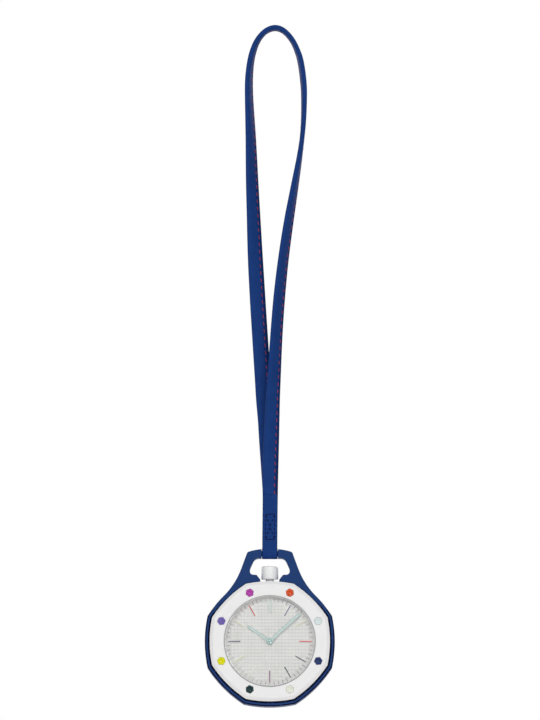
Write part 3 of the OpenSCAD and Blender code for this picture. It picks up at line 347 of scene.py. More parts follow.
def finish(name, base, gloss, edge=None, wear=0.6, drift=0.05, grain=9000.0, depth=1e-6, shine=0.5,
           pattern=None, **plain):
    """base and edge are colours, and the edge colour on the bevels is wear on some finishes and painted
    shade or painted highlight on others; gloss is the range of roughness; depth is the grain's height in
    metres; shine is the specular level; pattern adds a height of its own."""
    material, shader = new_material(name, Specular_IOR_Level=shine, **plain)
    skin = use(fine_grain, Scale=grain, Low=gloss[0], High=gloss[1])
    if base:
        base = colour(base)
        dark = tuple(c * (1 - drift) for c in base[:3]) + (1.0,)
    else:
        base = stored("tint", "Color")
        dark = blend_colour(1.0, base, (1 - drift,) * 3 + (1.0,), "MULTIPLY")
    shade = blend_colour(skin["Tone"], dark, base)
    # The bevels' edge colour: wear on some finishes, painted shade or painted highlight on others.
    if edge:
        shade = blend_colour(use(edge_wear_and_painted_light, Amount=wear)["Mask"], shade, colour(edge))
    tree.links.new(shade, shader.inputs["Base Color"])
    tree.links.new(skin["Value"], shader.inputs["Roughness"])
    height = pattern() if pattern else skin["Height"]
    raised = put("ShaderNodeBump", {"Height": height, "Distance": depth, "Strength": 1.0})
    tree.links.new(raised["Normal"], shader.inputs["Normal"])
    return material

# %% [markdown]
# ## The lanyard
# The strap is one strip of leather folded lengthwise, glued, and sewn along
# its open edge. It leaves the bar, climbs, makes one loop, comes down in front
# with a quarter twist on each side, and its front ply alone goes round the bar
# and up behind, where a box of stitches closes it.
# A cord like this has a route before it has a shape. The stations below are
# those of the CAD source: offset right, offset behind the bar, height over the
# bar, and how far its width has turned about the vertical.

# %% The strap's route
BAR = Vector((0, -4.2, 29))
STRAP_WIDTH, LOOP_SWELL, BAR_SWELL, FOLD_RADIUS = 4.95, 0.25, 0.2, 1.375
STATIONS = [(0, 0, 2.6, 0), (0.04, 0, 7, 0), (0.08, 0, 12, 0), (0.12, 0.05, 15.6, 0), (0.14, 0.45, 18, 0),
    (0.12, 0.65, 20.5, 0), (-0.05, 0.75, 24, 0), (-0.48, 0.9, 31, 1), (-0.91, 1.1, 37, 2), (-1.34, 1.3, 44, 3),
    (-1.91, 1.4, 50.5, 4), (-2.31, 1.4, 57, 5), (-3.14, 1.3, 70, 8), (-3.98, 1, 83, 13),
    (-4.76, 0.8, 96.5, 24), (-5.37, 0.6, 110, 38), (-5.89, 0.3, 123, 48), (-6.28, 0.2, 136, 59),
    (-6.8, 0.1, 149, 69), (-6.84, 0, 156, 73), (-6.24, 0, 162, 78), (-5.3, 0, 165.8, 81), (-3.9, 0, 169, 85),
    (-1.5, 0, 171.8, 90), (1.6, 0, 173, 90), (4.6, 0, 172, 90), (7.3, 0, 169, 92), (8.95, 0, 165.6, 95),
    (10.06, 0, 162, 98), (10.93, 0, 156, 99), (11.22, 0, 149, 97), (10.5, -0.2, 136, 90), (8.5, -0.3, 123, 77),
    (6.28, -0.7, 110, 65), (4.35, -1.1, 96.5, 59), (2.92, -1.4, 83, 53), (1.98, -1.6, 70, 49),
    (1.26, -1.7, 57, 41), (0.92, -1.7, 50.5, 36), (0.68, -1.6, 44, 29), (0.45, -1.4, 37, 21),
    (0.26, -1.3, 31, 12), (0.17, -1.25, 24, 3), (0.15, -1.2, 20.5, 0)]
LOOP = 174.7 / 173       # the loop's real height over the height of the stations
STATIONS = [(x * LOOP, y, z * LOOP, turn) for x, y, z, turn in STATIONS]
LAST = len(STATIONS) - 1
PLAIN_STEPS = (12, 30, LAST)       # no point is added after these stations, nor before the sixth


def smooth_middle(i):
    """The middle of the smooth curve through the four stations around the step from i to i + 1."""
    a, b, c, d = (STATIONS[min(LAST, max(0, k))] for k in (i - 1, i, i + 1, i + 2))
    return tuple((9 * (q + r) - p - s) / 16 for p, q, r, s in zip(a, b, c, d))


def lean(z):
    """How far the strap's lower end leans to the right at this height over the bar."""
    return max(0, z - 3) / 110


doubled = []
for i, station in enumerate(STATIONS):
    doubled += [station] if i < 6 or i in PLAIN_STEPS else [station, smooth_middle(i)]
front_ply = [(lean(z), -FOLD_RADIUS, z, 0) for z in (18.6, 15, 9, 3, 0.6)]
fold = [(0, -FOLD_RADIUS * math.cos(a), -FOLD_RADIUS * math.sin(a), 0)
    for a in map(math.radians, range(0, 181, 30))]
back_ply = [(lean(z), FOLD_RADIUS, z, 0) for z in (0.6, 5, 11, 15.2)]


def route_points(rows):
    return [(BAR + Vector(r[:3])) * MM for r in rows]


# %% [markdown]
# A strap is not round, so a bevelled curve will not do: its width turns as it
# goes. `loft` sweeps any closed outline along the route, with the width held
# to the turn of each station, after the route has been made smooth by a cubic
# curve through its stations.

# %% Sweep an outline along a route
def smooth_route(rows, step):
    """Rows of the route, evenly about step mm apart, on a cubic curve through the given rows."""
    rows = np.array(rows, dtype=float)
    gaps = np.linalg.norm(np.diff(rows[:, :3], axis=0), axis=1)
    at = np.concatenate([[0], np.cumsum(gaps)])
    slope = np.gradient(rows, at, axis=0)
    wanted = np.linspace(0, at[-1], max(2, round(at[-1] / step)) + 1)
    k = np.clip(np.searchsorted(at, wanted, side="right") - 1, 0, len(gaps) - 1)
    t = ((wanted - at[k]) / gaps[k])[:, None]
    h = gaps[k][:, None]
    return ((2 * t**3 - 3 * t**2 + 1) * rows[k] + (t**3 - 2 * t**2 + t) * h * slope[k]
            + (3 * t**2 - 2 * t**3) * rows[k + 1] + (t**3 - t**2) * h * slope[k + 1])


def frames_of(rows):
    """Place, direction, width and thickness directions of every row, in metres."""
    points = np.array([tuple(p) for p in route_points(rows)])
    along = np.gradient(points, axis=0)
    along /= np.linalg.norm(along, axis=1)[:, None]
    turn = np.radians(np.array(rows)[:, 3])
    wide = np.stack([np.cos(turn), np.sin(turn), np.zeros(len(turn))], axis=1)
    wide -= (wide * along).sum(axis=1)[:, None] * along
    wide /= np.linalg.norm(wide, axis=1)[:, None]
    return points, along, wide, np.cross(along, wide)


def swell(rows):
    """How much wider than its plain width the strap lies: pressed out at the bar, swollen in the loop."""
    z = np.array(rows)[:, 2]
    return (1 + LOOP_SWELL / STRAP_WIDTH * np.clip((z - 16) / 14, 0, 1)
            + BAR_SWELL / STRAP_WIDTH * np.clip((1.9 - z) / 0.7, 0, 1))


def loft(rows, outline):
    """Points and faces of a closed shell: the outline, in mm, at every row, with both ends capped."""
    points, _, wide, out = frames_of(rows)
    profile = np.array(outline) * MM
    across = profile[None, :, :1] * swell(rows)[:, None, None]
    rings = points[:, None] + across * wide[:, None] + profile[None, :, 1:] * out[:, None]
    return rings.reshape(-1, 3), ring_faces(len(outline), len(points))


def mirrored(half):
    """A closed outline from its outer half, which runs from the right edge to the left."""
    return half + [(x, -y) for x, y in reversed(half) if y != 0]

# %% [markdown]
# The outline says how the strap was made. On its left it is folded, so it is
# full and round. On its right two cut edges meet in a groove, and the seam
# pulls a shallow channel into both faces, 1.1 mm from that edge. The mesh
# stores where it is cut and where the channel runs, so that the material can
# stain the cut edges and paint shade into the channel.

# %% The leather's shape
FOLDED = mirrored([(2.28, 0), (2.42, 0.07), (2.475, 0.18), (2.475, 0.5), (2.4, 0.64), (2.22, 0.71),
    (1.8, 0.745), (1.56, 0.72), (1.375, 0.675), (1.19, 0.72), (0.9, 0.77), (0.3, 0.8), (-0.5, 0.8),
    (-1.3, 0.785), (-1.85, 0.72), (-2.2, 0.55), (-2.4, 0.3), (-2.475, 0)])
SINGLE = mirrored([(2.475, 0), (2.475, 0.2), (2.42, 0.3), (2.28, 0.36), (1.9, 0.385), (1.2, 0.385), (0, 0.375),
    (-1.2, 0.385), (-1.9, 0.385), (-2.28, 0.36), (-2.42, 0.3), (-2.475, 0.2), (-2.475, 0)])
SEAM_OFFSET, SEAM_DEPTH = 1.375, 0.675       # where the seam lies on the folded outline
BACK_PLY_END = 19.2                          # its height over the bar
UPPER_PLY = ((-1.56, BACK_PLY_END + 0.4), (-1.55, BACK_PLY_END), (-1.46, 17.6), (-1.39, 16), (-FOLD_RADIUS, 13))


def cut_edge(x):
    """1 on the cut edges of the folded strap, fading in towards them from the seam."""
    return 1.0 if x > 2.3 else min(0.6, max(0.0, (x - 1.45) / 0.5))


double_rows = smooth_route(doubled + [(lean(BACK_PLY_END), -1.19, BACK_PLY_END, 0)], 0.8)
ply_rows = smooth_route([(lean(z), y, z, 0) for y, z in UPPER_PLY] + front_ply[2:] + fold + back_ply, 0.35)
folded_shell, single_shell = loft(double_rows, FOLDED), loft(ply_rows, SINGLE)
first = len(folded_shell[0])
strap_mesh = mesh_of("strap", np.concatenate([folded_shell[0], single_shell[0]]),
    folded_shell[1] + [[first + k for k in f] for f in single_shell[1]], smooth=True)
mark(strap_mesh, "edge", [cut_edge(x) for x, _ in FOLDED] * len(double_rows)
     + [float(abs(x) > 2.35) for x, _ in SINGLE] * len(ply_rows))
mark(strap_mesh, "channel", [float(abs(x - SEAM_OFFSET) < 0.25) for x, _ in FOLDED] * len(double_rows)
     + [0.0] * (len(SINGLE) * len(ply_rows)))
print("rows of the folded strap and of the single ply:", len(double_rows), len(ply_rows))

# %% The leather's finish
leather = finish("navy leather", (31, 65, 130), (0.42, 0.58), drift=0.14, depth=2.2e-5, shine=0.05,
    pattern=lambda: use(leather_grain)["Height"], IOR=1.3)
base_colour = tree.nodes["Principled BSDF"].inputs["Base Color"]
shade = base_colour.links[0].from_socket
# Painted shade darkens the creases and the seam's channel; the cut edges are stained.
for mask, share, rgb in ((use(leather_grain)["Crease"], 0.4, (18, 42, 98)),
        (stored("edge"), 1.0, (3, 14, 58)), (stored("channel"), 0.5, (18, 42, 102))):
    shade = blend_colour(calc(mask, "*", share), shade, colour(rgb))
tree.links.new(shade, base_colour)
strap = show("strap_leather", strap_mesh, leather)
place(strap, "lanyard", "leather", "lanyard_strap")

# %% [markdown]
# ## Stitches by Geometry Nodes
# A seam is one stitch repeated, so a tree makes it: it reads guide points
# that know which way the seam runs and which way is out, puts one arched
# length of thread on each, and gives every stitch a small turn of its own.
# The same tree sews the coral seam and the navy box over the fold, and its
# last steps serve the dial's trees too.

# %% Parts of the geometry trees
def xyz(x=0.0, y=0.0, z=0.0):
    return put("ShaderNodeCombineXYZ", {0: x, 1: y, 2: z})[0]


def guide_turn():
    """The turn that lays x along a guide point's "along" and z along its "out"."""
    turn = (0.0, 0.0, 0.0)
    for name, axis, pivot in (("out", "Z", "AUTO"), ("along", "X", "Z")):
        way = put("GeometryNodeInputNamedAttribute", {"Name": name}, data_type="FLOAT_VECTOR")[0]
        turn = put("FunctionNodeAlignRotationToVector", {"Rotation": turn, "Vector": way}, axis=axis,
            pivot_axis=pivot)[0]
    return turn


def copies(points, shape, turn):
    laid = put("GeometryNodeInstanceOnPoints", {"Points": points, "Instance": shape, "Rotation": turn})[0]
    return put("GeometryNodeRealizeInstances", {0: laid})[0]


def close_tree(given, out, geometry):
    dyed = put("GeometryNodeSetMaterial", {"Geometry": geometry, "Material": given["Material"]})[0]
    return give(out, Geometry=dyed)


def grow(name, guides, group, body, slot, **values):
    """Runs a geometry tree on a guide mesh and places the result as a plain piece."""
    piece = show(name, guides)
    modifier = piece.modifiers.new("tree", "NODES")
    modifier.node_group = group
    ids = {s.name: s.identifier for s in group.interface.items_tree if s.in_out == "INPUT"}
    for label, value in values.items():
        modifier[ids[label.replace("_", " ")]] = value
    make_plain(piece)
    place(piece, body, slot)
    return piece


def guide_points(name, places, along, out):
    mesh = mesh_of(name, places, [])
    mark(mesh, "along", along, "FLOAT_VECTOR")
    mark(mesh, "out", out, "FLOAT_VECTOR")
    return mesh

# %% Tree: stitches
given, out = new_tree("stitches", {"Length": 0.0015, "Thread": 0.0002, "Slant": 0.1, "Jitter": 0.05, "Seed": 3})
half = calc(given["Length"], "*", 0.5)
sink = calc(given["Thread"], "*", -1.1)
arc = put("GeometryNodeCurveQuadraticBezier", {
    "Resolution": 8, "Start": xyz(calc(half, "*", -1.0), 0.0, sink),
    "Middle": xyz(z=calc(given["Thread"], "*", 1.2)), "End": xyz(half, 0.0, sink)})[0]
section = put("GeometryNodeCurvePrimitiveCircle", {"Resolution": 7, "Radius": given["Thread"]},
    mode="RADIUS")[0]
stitch = put("GeometryNodeCurveToMesh", {"Curve": arc, "Profile Curve": section, "Fill Caps": True})[0]
wobble = put("FunctionNodeRandomValue", {2: calc(given["Jitter"], "*", -1.0), 3: given["Jitter"],
    "Seed": given["Seed"]}, data_type="FLOAT")[1]
spin = put("FunctionNodeAxisAngleToRotation", {"Axis": (0.0, 0.0, 1.0),
    "Angle": calc(wobble, "+", given["Slant"])})[0]
turned = put("FunctionNodeRotateRotation", {0: guide_turn(), 1: spin}, rotation_space="LOCAL")[0]
sewn = copies(given["Guides"], stitch, turned)
stitch_tree = close_tree(given, out, put("GeometryNodeSetShadeSmooth", {0: sewn})[0])

# %% The coral seam
# In mm along the strap: the first stitch from the seam's lower end, the last one from its start
PITCH, FIRST_STITCH, LAST_STITCH = 2.4, 0.8, 15
coral_thread = finish("coral thread", (168, 60, 64), (0.5, 0.7), drift=0.3, grain=14000.0, depth=3e-5,
    Sheen_Weight=0.1, Sheen_Roughness=0.5, shine=0.2)
points, along, wide, out = frames_of(double_rows)
seam_line = SEAM_OFFSET * swell(double_rows)
travelled = np.concatenate([[0], np.cumsum(np.linalg.norm(np.diff(points, axis=0), axis=1))]) / MM
seam_at = np.arange(travelled[-1] - FIRST_STITCH, LAST_STITCH, -PITCH)
middles = np.stack([np.interp(seam_at, travelled, points[:, i]) for i in range(3)], axis=1)
nearest = [int(np.argmin(abs(travelled - s))) for s in seam_at]
stitches = [(middle, k, side) for middle, k in zip(middles, nearest) for side in (1, -1)]
places = [m + (seam_line[k] * wide[k] + side * SEAM_DEPTH * out[k]) * MM for m, k, side in stitches]
seam_guides = guide_points("seam guides", places, [along[k] for _, k, _ in stitches],
    [side * out[k] for _, k, side in stitches])
seam = grow("seam_stitches", seam_guides, stitch_tree, "lanyard", "leather", Length=1.5 * MM, Thread=0.14 * MM,
    Slant=0.12, Jitter=0.05, Seed=3, Material=coral_thread)
print(len(seam_at), "coral stitches on each face")

# %% [markdown]
# The box stitch closes the strap over its own end: a frame and a cross of
# short navy stitches, through both plies and the folded strap between them,
# so it shows in front and behind.

# %% The navy box
def box_guides(y, outward):
    """Places, directions and outward directions of the stitches on one face."""
    left, right, low, high = -1.38, 1.6, 4.6, 12.9
    lines = [(left, low, right, low, 3), (left, high, right, high, 3), (left, low, left, high, 6),
        (right, low, right, high, 6), (left, low, right, high, 6), (right, low, left, high, 6)]
    box = [(x0, z0, x1 - x0, z1 - z0, (i + 0.5) / count) for x0, z0, x1, z1, count in lines
        for i in range(count)]
    places = [(BAR + Vector((x + w * t, y, z + h * t))) * MM for x, z, w, h, t in box]
    along = [Vector((w, 0, h)).normalized() for _, _, w, h, _ in box]
    return places, along, [Vector((0, outward, 0))] * len(box)


BOX_DEPTH = FOLD_RADIUS + 0.37       # in front of and behind the bar's middle
navy_thread = finish("navy thread", (8, 22, 76), (0.5, 0.7), drift=0.3, grain=14000.0, depth=3e-5, shine=0.1)
both_faces = [a + b for a, b in zip(box_guides(-BOX_DEPTH, -1), box_guides(BOX_DEPTH, 1))]
box = grow("box_stitches", guide_points("box guides", *both_faces), stitch_tree, "lanyard", "leather",
    Length=1.0 * MM, Thread=0.17 * MM, Slant=0.0, Jitter=0.06, Seed=5, Material=navy_thread)

# %% [markdown]
# ## Softened copies of the CAD parts
# No real part has a perfectly sharp edge: a small bevel catches the light and
# tells the eye how large the part is. A CAD mesh is loose triangles, so
# `dressed` joins them, bevels the edges that turn sharply, and marks the
# bevels as "edge" for wear and for painted shade or painted highlight. A bevel
# wider than a part's smallest corner folds a face over itself. The bevel tool's
# own limit would shrink every bevel of the part to nearly nothing, so
# `bevelled` narrows it until nothing folds.

# %% Helpers: a bevelled copy of a CAD part
def flat_area(work):
    """The area of a mesh once cut into triangles, which grows as soon as a face overlaps itself."""
    trial = work.copy()
    bmesh.ops.triangulate(trial, faces=trial.faces)
    area = sum(f.calc_area() for f in trial.faces)
    trial.free()
    return area


def bend(edge):
    """The angle in degrees by which the surface turns over an edge, or 0 at an open one."""
    return math.degrees(edge.calc_face_angle()) if len(edge.link_faces) == 2 else 0


def bevelled(work, edges_of, width, segments, shade_edge):
    """A copy with the picked edges bevelled, as near to this width in mm as its corners let it be."""
    before = flat_area(work)
    for share in (1, 0.75, 0.55, 0.4, 0.25, 0.12):
        trial = work.copy()
        made = bmesh.ops.bevel(trial, geom=edges_of(trial), offset=width * share * MM, segments=segments,
            profile=0.5, affect="EDGES", clamp_overlap=False)
        if all(bend(e) <= 150 for e in trial.edges) and flat_area(trial) < before * 1.001:
            layer = trial.faces.layers.float["edge"]
            for face in made["faces"]:
                face[layer] = shade_edge(face.calc_center_median())
            work.free()
            return trial, width * share
        trial.free()
    return work, 0


def joined(source):
    """The loose triangles of a CAD mesh as one skin with whole flat faces."""
    work = bmesh.new()
    corners = [work.verts.new(v.co) for v in source.vertices]
    for face in source.polygons:
        try:
            work.faces.new([corners[i] for i in face.vertices])
        except ValueError:       # a triangle that is there twice
            pass
    bmesh.ops.remove_doubles(work, verts=work.verts, dist=2e-6)
    bmesh.ops.dissolve_degenerate(work, dist=2e-6, edges=work.edges)
    bmesh.ops.dissolve_limit(work, angle_limit=math.radians(0.6), verts=work.verts, edges=work.edges)
    work.faces.layers.float.new("edge")
    return work


def dressed(node, body, slot, material, width=0.15, sharp=30, segments=2, shade_edge=lambda point: 1.0):
    """width is in mm, or a function that gives it for a place; edges that bend by more than sharp
    degrees are bevelled; shade_edge gives how strongly the bevel at a place is marked."""
    near = width if callable(width) else lambda point: width
    work = joined(nodes[node].data)
    used = []
    for wanted in sorted({near(v.co) for v in work.verts}, reverse=True):
        def edges_of(trial):
            return [e for e in trial.edges if bend(e) > sharp
                    and near((e.verts[0].co + e.verts[1].co) / 2) == wanted]
        work, got = bevelled(work, edges_of, wanted, segments, shade_edge)
        used.append(round(got, 3))
    mesh = bpy.data.meshes.new(node + "_soft")
    work.to_mesh(mesh)
    work.free()
    mesh.shade_smooth()
    mesh.set_sharp_from_angle(angle=math.radians(42))
    piece = show(node + "_finished", mesh, material)
    piece.modifiers.new("normals", "WEIGHTED_NORMAL").keep_sharp = True
    make_plain(piece)
    print(node + ": bevels of", used, "mm")
    place(piece, body, slot, node)


def coat(material, *names):
    """Gives CAD nodes whose shape is right a finished material."""
    for name in names:
        if not nodes[name].material_slots:
            nodes[name].data.materials.append(material)
        for slot in nodes[name].material_slots:
            slot.material = material

# %% [markdown]
# ## The holder
# The holder is a blue clip that the case snaps into from the front. It could
# be lacquered metal or moulded plastic; both have the same satin skin. The
# ring's broad bevels are painted a much darker blue, as shade where they turn
# away from the light.

# %% Holder
def ring_bevel_painted_shade(point):
    """How much painted shade the bevels get: 1 on the ring, fading out towards the bail above it."""
    return min(1.0, max(0.12, (13.5 - point.z / MM) / 5))


def holder_bevel(point):
    """Broad on the ring, crisp on the two cheeks beside the strap, and in between elsewhere."""
    if abs(point.x) < 3.1 * MM and point.z > 24 * MM:
        return 0.06
    return 0.45 if point.z < 12 * MM else 0.2


# The near-black edge colour paints shade on the ring's bevels.
blue_skin = finish("blue satin skin", (36, 65, 118), (0.34, 0.44), edge=(2, 6, 46), wear=2.4, grain=7000.0,
    depth=3e-6, shine=0.07, IOR=1.33, drift=0.08)
dressed("holder_frame", "clip_frame", "frame_blue", blue_skin, holder_bevel, sharp=35, segments=3,
    shade_edge=ring_bevel_painted_shade)

# %% [markdown]
# ## The case
# The case is white: a middle, a bezel with eight facets and a back. Bright
# glossy resin or ceramic both suit it. Its bevels stay crisp and are painted a
# touch lighter, as highlight, and a thin clear coat gives it a soft, deep shine.

# %% Case
# The lighter edge colour paints a faint highlight on the bevels.
white_skin = finish("white gloss", (245, 244, 244), (0.2, 0.28), edge=(248, 248, 249), wear=0.5, drift=0.03,
    grain=5000.0, depth=1.5e-6, Coat_Weight=0.2, Coat_Roughness=0.12, shine=0.4)
for part, width in (("mid_case", 0.15), ("bezel", 0.18), ("case_back", 0.15)):
    dressed(part, "head", "case_white", white_skin, width)

# %% [markdown]
# ## Crown and screws
# The crown is a fluted button in the case's own white. Its flutes are so fine
# that one wavy outline, swept up its axis, shows them best. The eight bezel
# screws are hexagons with a round recess, in eight lacquers of one recipe: a
# strong colour, painted darker along the bevels as shade.

# %% Crown
CROWN_AXIS, FLUTES, FLUTE_DEPTH = Vector((0, -3.2, 0)), 36, 0.07
CROWN_PROFILE = [(1.4, 20.58), (2.5, 20.58), (2.7, 20.66), (2.78, 20.85), (2.78, 24.4), (2.7, 24.7),
    (2.5, 24.86), (2.0, 24.93), (0.6, 24.95)]       # radius and height, both in mm
count = FLUTES * 6
points = []
for radius, z in CROWN_PROFILE:
    for a in (2 * math.pi * k / count for k in range(count)):
        r = radius - (FLUTE_DEPTH if radius > 2.6 else 0.0) * (0.5 + 0.5 * math.cos(FLUTES * a)) ** 3
        points.append((CROWN_AXIS + Vector((r * math.cos(a), r * math.sin(a), z))) * MM)
crown_skin = finish("white gloss, crown", (243, 243, 243), (0.24, 0.32), drift=0.03, grain=5000.0,
    depth=1.5e-6, Coat_Weight=0.2, Coat_Roughness=0.15, shine=0.4)
crown_mesh = mesh_of("crown", points, ring_faces(count, len(CROWN_PROFILE)), smooth=True)
place(show("crown_finished", crown_mesh, crown_skin), "winder", "case_white", "crown")

# %% Screws
# Name, lacquer colour, and the share of that colour left on the bevels, which paints shade there.
SCREW_COLOURS = [("orange", (226, 86, 40), 0.7), ("pale_mint", (222, 234, 234), 0.99),
    ("navy", (30, 54, 112), 0.2), ("cream", (236, 240, 226), 0.99), ("dark_teal", (10, 56, 62), 0.1),
    ("yellow", (232, 230, 14), 0.9), ("purple", (120, 105, 186), 0.75), ("magenta", (190, 70, 178), 0.7)]
for number, (label, rgb, bevel_shade_share) in enumerate(SCREW_COLOURS, 1):
    lacquer = finish(label + " lacquer", rgb, (0.16, 0.26), edge=[v * bevel_shade_share for v in rgb], wear=1.2, drift=0.06,
        grain=8000.0, depth=1.5e-6, shine=0.2)
    dressed(f"bezel_screw_{number}", "head", "screw_" + label, lacquer, 0.1, sharp=35)

# %% [markdown]
# ## The dial
# The dial is a pale grey disc with a relief of small raised squares, as if
# stamped. It could be one bump map, but real squares give real shadows at a low
# light. The disc between them is painted darker than the squares, as shade in
# the gaps. A tree lays a grid, keeps the squares inside a circle, and gives
# every square a small tilt, which is what makes such a dial sparkle.

# %% Tree: the grid of squares
DIAL_TOP = 6.2
HALF_ROOT_TWO = 1.41421356 / 2
given, out = new_tree("dial grid", {
    "Pitch": 0.0011, "Row Gap": 0.00022, "Column Gap": 0.00016, "Radius": 0.0127, "Height": 0.00005,
    "Level": 0.0062, "Tilt": 0.01, "Seed": 7})
pitch, tilt = given["Pitch"], given["Tilt"]
across = calc(given["Radius"], "/", pitch, "ROUND", "*", 2.0)
size = calc(across, "*", pitch)
count = put("FunctionNodeFloatToInt", {0: calc(across, "+", 1.0)})[0]
grid = put("GeometryNodeMeshGrid", {"Size X": size, "Size Y": size, "Vertices X": count,
    "Vertices Y": count})[0]
far = vector("LENGTH", put("GeometryNodeInputPosition")[0])["Value"]
outside = put("FunctionNodeCompare", {0: far, 1: given["Radius"]}, data_type="FLOAT",
    operation="GREATER_THAN")[0]
kept = put("GeometryNodeDeleteGeometry", {0: grid, 1: outside}, domain="POINT")[0]
# A square block with sloping sides is a four-sided cone with its tip cut off, turned to lie with the grid
width = calc(pitch, "-", given["Row Gap"])
top = calc(width, "-", calc(given["Height"], "*", 1.6))
block = put("GeometryNodeMeshCone", {"Vertices": 4, "Radius Top": calc(top, "*", HALF_ROOT_TWO),
    "Radius Bottom": calc(width, "*", HALF_ROOT_TWO), "Depth": given["Height"]}, fill_type="NGON")[0]
square = put("GeometryNodeTransform", {"Geometry": block, "Rotation": (0.0, 0.0, math.pi / 4)})[0]
share = calc(pitch, "-", given["Column Gap"], "/", width)
square = put("GeometryNodeTransform", {"Geometry": square, "Scale": xyz(share, 1.0, 1.0)})[0]
low = calc(tilt, "*", -1.0)
leaning = put("FunctionNodeRandomValue", {0: xyz(low, low), 1: xyz(tilt, tilt),
    "Seed": given["Seed"]}, data_type="FLOAT_VECTOR")[0]
stood = put("GeometryNodeTransform", {
    "Geometry": copies(kept, square, leaning), "Rotation": (math.pi / 2, 0.0, 0.0),
    "Translation": xyz(y=calc(given["Level"], "*", -1.0))})[0]
grid_tree = close_tree(given, out, stood)

# %% The dial and its squares
# The disc is painted darker than the squares, as shade in the gaps between them.
dial_skin = finish("pale grey dial", (193, 193, 191), (0.32, 0.42), drift=0.03, grain=12000.0, depth=2e-6,
    Metallic=0.15, shine=0.4)
square_skin = finish("raised squares", (211, 211, 208), (0.28, 0.4), drift=0.04, grain=12000.0, depth=2e-6,
    Metallic=0.15, shine=0.4)
coat(dial_skin, "dial")
grow("dial_squares", mesh_of("grid guide", [(0, 0, 0)], []), grid_tree, "head", "dial_grey",
     Pitch=1.1 * MM, Row_Gap=0.26 * MM, Column_Gap=0.13 * MM, Radius=12.9 * MM, Height=0.05 * MM,
     Level=(DIAL_TOP + 0.02) * MM, Tilt=0.006, Seed=7, Material=square_skin)

# %% [markdown]
# ## Hour markers and minute ticks
# Each hour has its own colour. The markers are polished bars with a strip of
# lacquer sunk into the top, and their bevels are painted lighter, as highlight;
# the ticks are printed. The strips and ticks know their hour, so one attribute
# called "tint" colours them all.

# %% Colours of the hours
HOURS = {1: (92, 84, 124), 2: (206, 204, 178), 3: (206, 62, 58), 4: (30, 44, 62), 5: (16, 52, 60),
    6: (132, 58, 112), 7: (212, 210, 198), 8: (206, 206, 168), 9: (72, 66, 100), 10: (206, 202, 172),
    11: (190, 66, 56), 12: (187, 206, 200)}
BAR_QUADS = [(0, 4, 5, 1), (1, 5, 6, 2), (2, 6, 7, 3), (3, 7, 4, 0), (4, 7, 6, 5), (0, 1, 2, 3)]
BAR_INSET = 0.05


def turned_point(x, y, clock, z):
    """x across and y out along the hand of a clock that shows this many hours."""
    a = math.radians(30 * clock)
    return head_point(x * math.cos(a) + y * math.sin(a), y * math.cos(a) - x * math.sin(a), z)


def bar_corners(clock, side, wide, inner, outer, low, high):
    """Corners of a bar with a slightly narrower top, for BAR_QUADS to join."""
    base = [(-1, inner), (1, inner), (1, outer), (-1, outer)]
    top = [(s, y + (BAR_INSET if y == inner else -BAR_INSET)) for s, y in base]
    return [turned_point(side + s * wide / 2, y, clock, low) for s, y in base] + [
        turned_point(side + s * (wide / 2 - BAR_INSET), y, clock, high) for s, y in top]


print(len(HOURS), "hours, each with its colour")

# %% Markers and their strips
MARKER_IN, MARKER_OUT, MARKER_TOP, TWIN_OFFSET = 9.45, 13.9, 6.5, 0.5625
STRIP_WIDE, STRIP_MARGIN, STRIP_SUNK, STRIP_PROUD = 0.42, 0.14, 0.05, 0.03
# The lighter edge colour paints a highlight on the markers' bevels.
marker_metal = finish("polished marker", (204, 205, 202), (0.3, 0.4), edge=(222, 222, 220), Metallic=0.25,
    shine=0.3)
marker_lacquer = finish("marker lacquer", None, (0.35, 0.45), drift=0.06, shine=0.15)
dressed("hour_markers", "head", "markers", marker_metal, 0.08, sharp=35)
points, faces, tints = [], [], []
for hour, rgb in HOURS.items():
    for side in (-TWIN_OFFSET, TWIN_OFFSET) if hour == 12 else (0,):
        faces += [tuple(len(points) + i for i in quad) for quad in BAR_QUADS]
        points += bar_corners(hour, side, STRIP_WIDE, MARKER_IN + STRIP_MARGIN, MARKER_OUT - STRIP_MARGIN,
            MARKER_TOP - STRIP_SUNK, MARKER_TOP + STRIP_PROUD)
        tints += [colour(rgb)] * 8
strip_mesh = mesh_of("marker_strips", points, faces)
mark(strip_mesh, "tint", tints, "FLOAT_COLOR")
place(show("marker_strips", strip_mesh, marker_lacquer), "head", "markers")

# %% [markdown]
# The ticks stand on one circle, so they are one small bar on forty-eight guide
# points, four between each pair of markers. Each guide carries its direction
# and its hour's colour, and the bars inherit both when they are made real.

# %% Tree: ticks
given, out = new_tree("ticks", {"Length": 0.001, "Width": 0.00015, "Height": 0.00003})
block = xyz(given["Length"], given["Width"], given["Height"])
bar = put("GeometryNodeMeshCube", {"Size": block})[0]
tick_tree = close_tree(given, out, copies(given["Guides"], bar, guide_turn()))

# %% The minute track
TICK_RADIUS = 13.7
TICK_SHARE, TICK_LIFT = 0.45, 52       # a tick's colour is this share of its hour's, made this much lighter
tick_print = finish("printed ticks", None, (0.4, 0.5), drift=0.1, shine=0.3)
minutes = [m for m in range(60) if m % 5]
tick_at = [turned_point(0, TICK_RADIUS, m / 5, DIAL_TOP + 0.015) for m in minutes]
outward = [(p - head_point(0, 0, DIAL_TOP)).normalized() for p in tick_at]
tick_guides = guide_points("tick guides", tick_at, outward, [(0, -1, 0)] * len(minutes))
near_hours = [HOURS[(round(m / 5) - 1) % 12 + 1] for m in minutes]
mark(tick_guides, "tint", [colour([TICK_SHARE * v + TICK_LIFT for v in rgb]) for rgb in near_hours],
    "FLOAT_COLOR")
grow("minute_ticks", tick_guides, tick_tree, "head", "markers", Length=1.0 * MM, Width=0.16 * MM,
     Height=0.03 * MM, Material=tick_print)
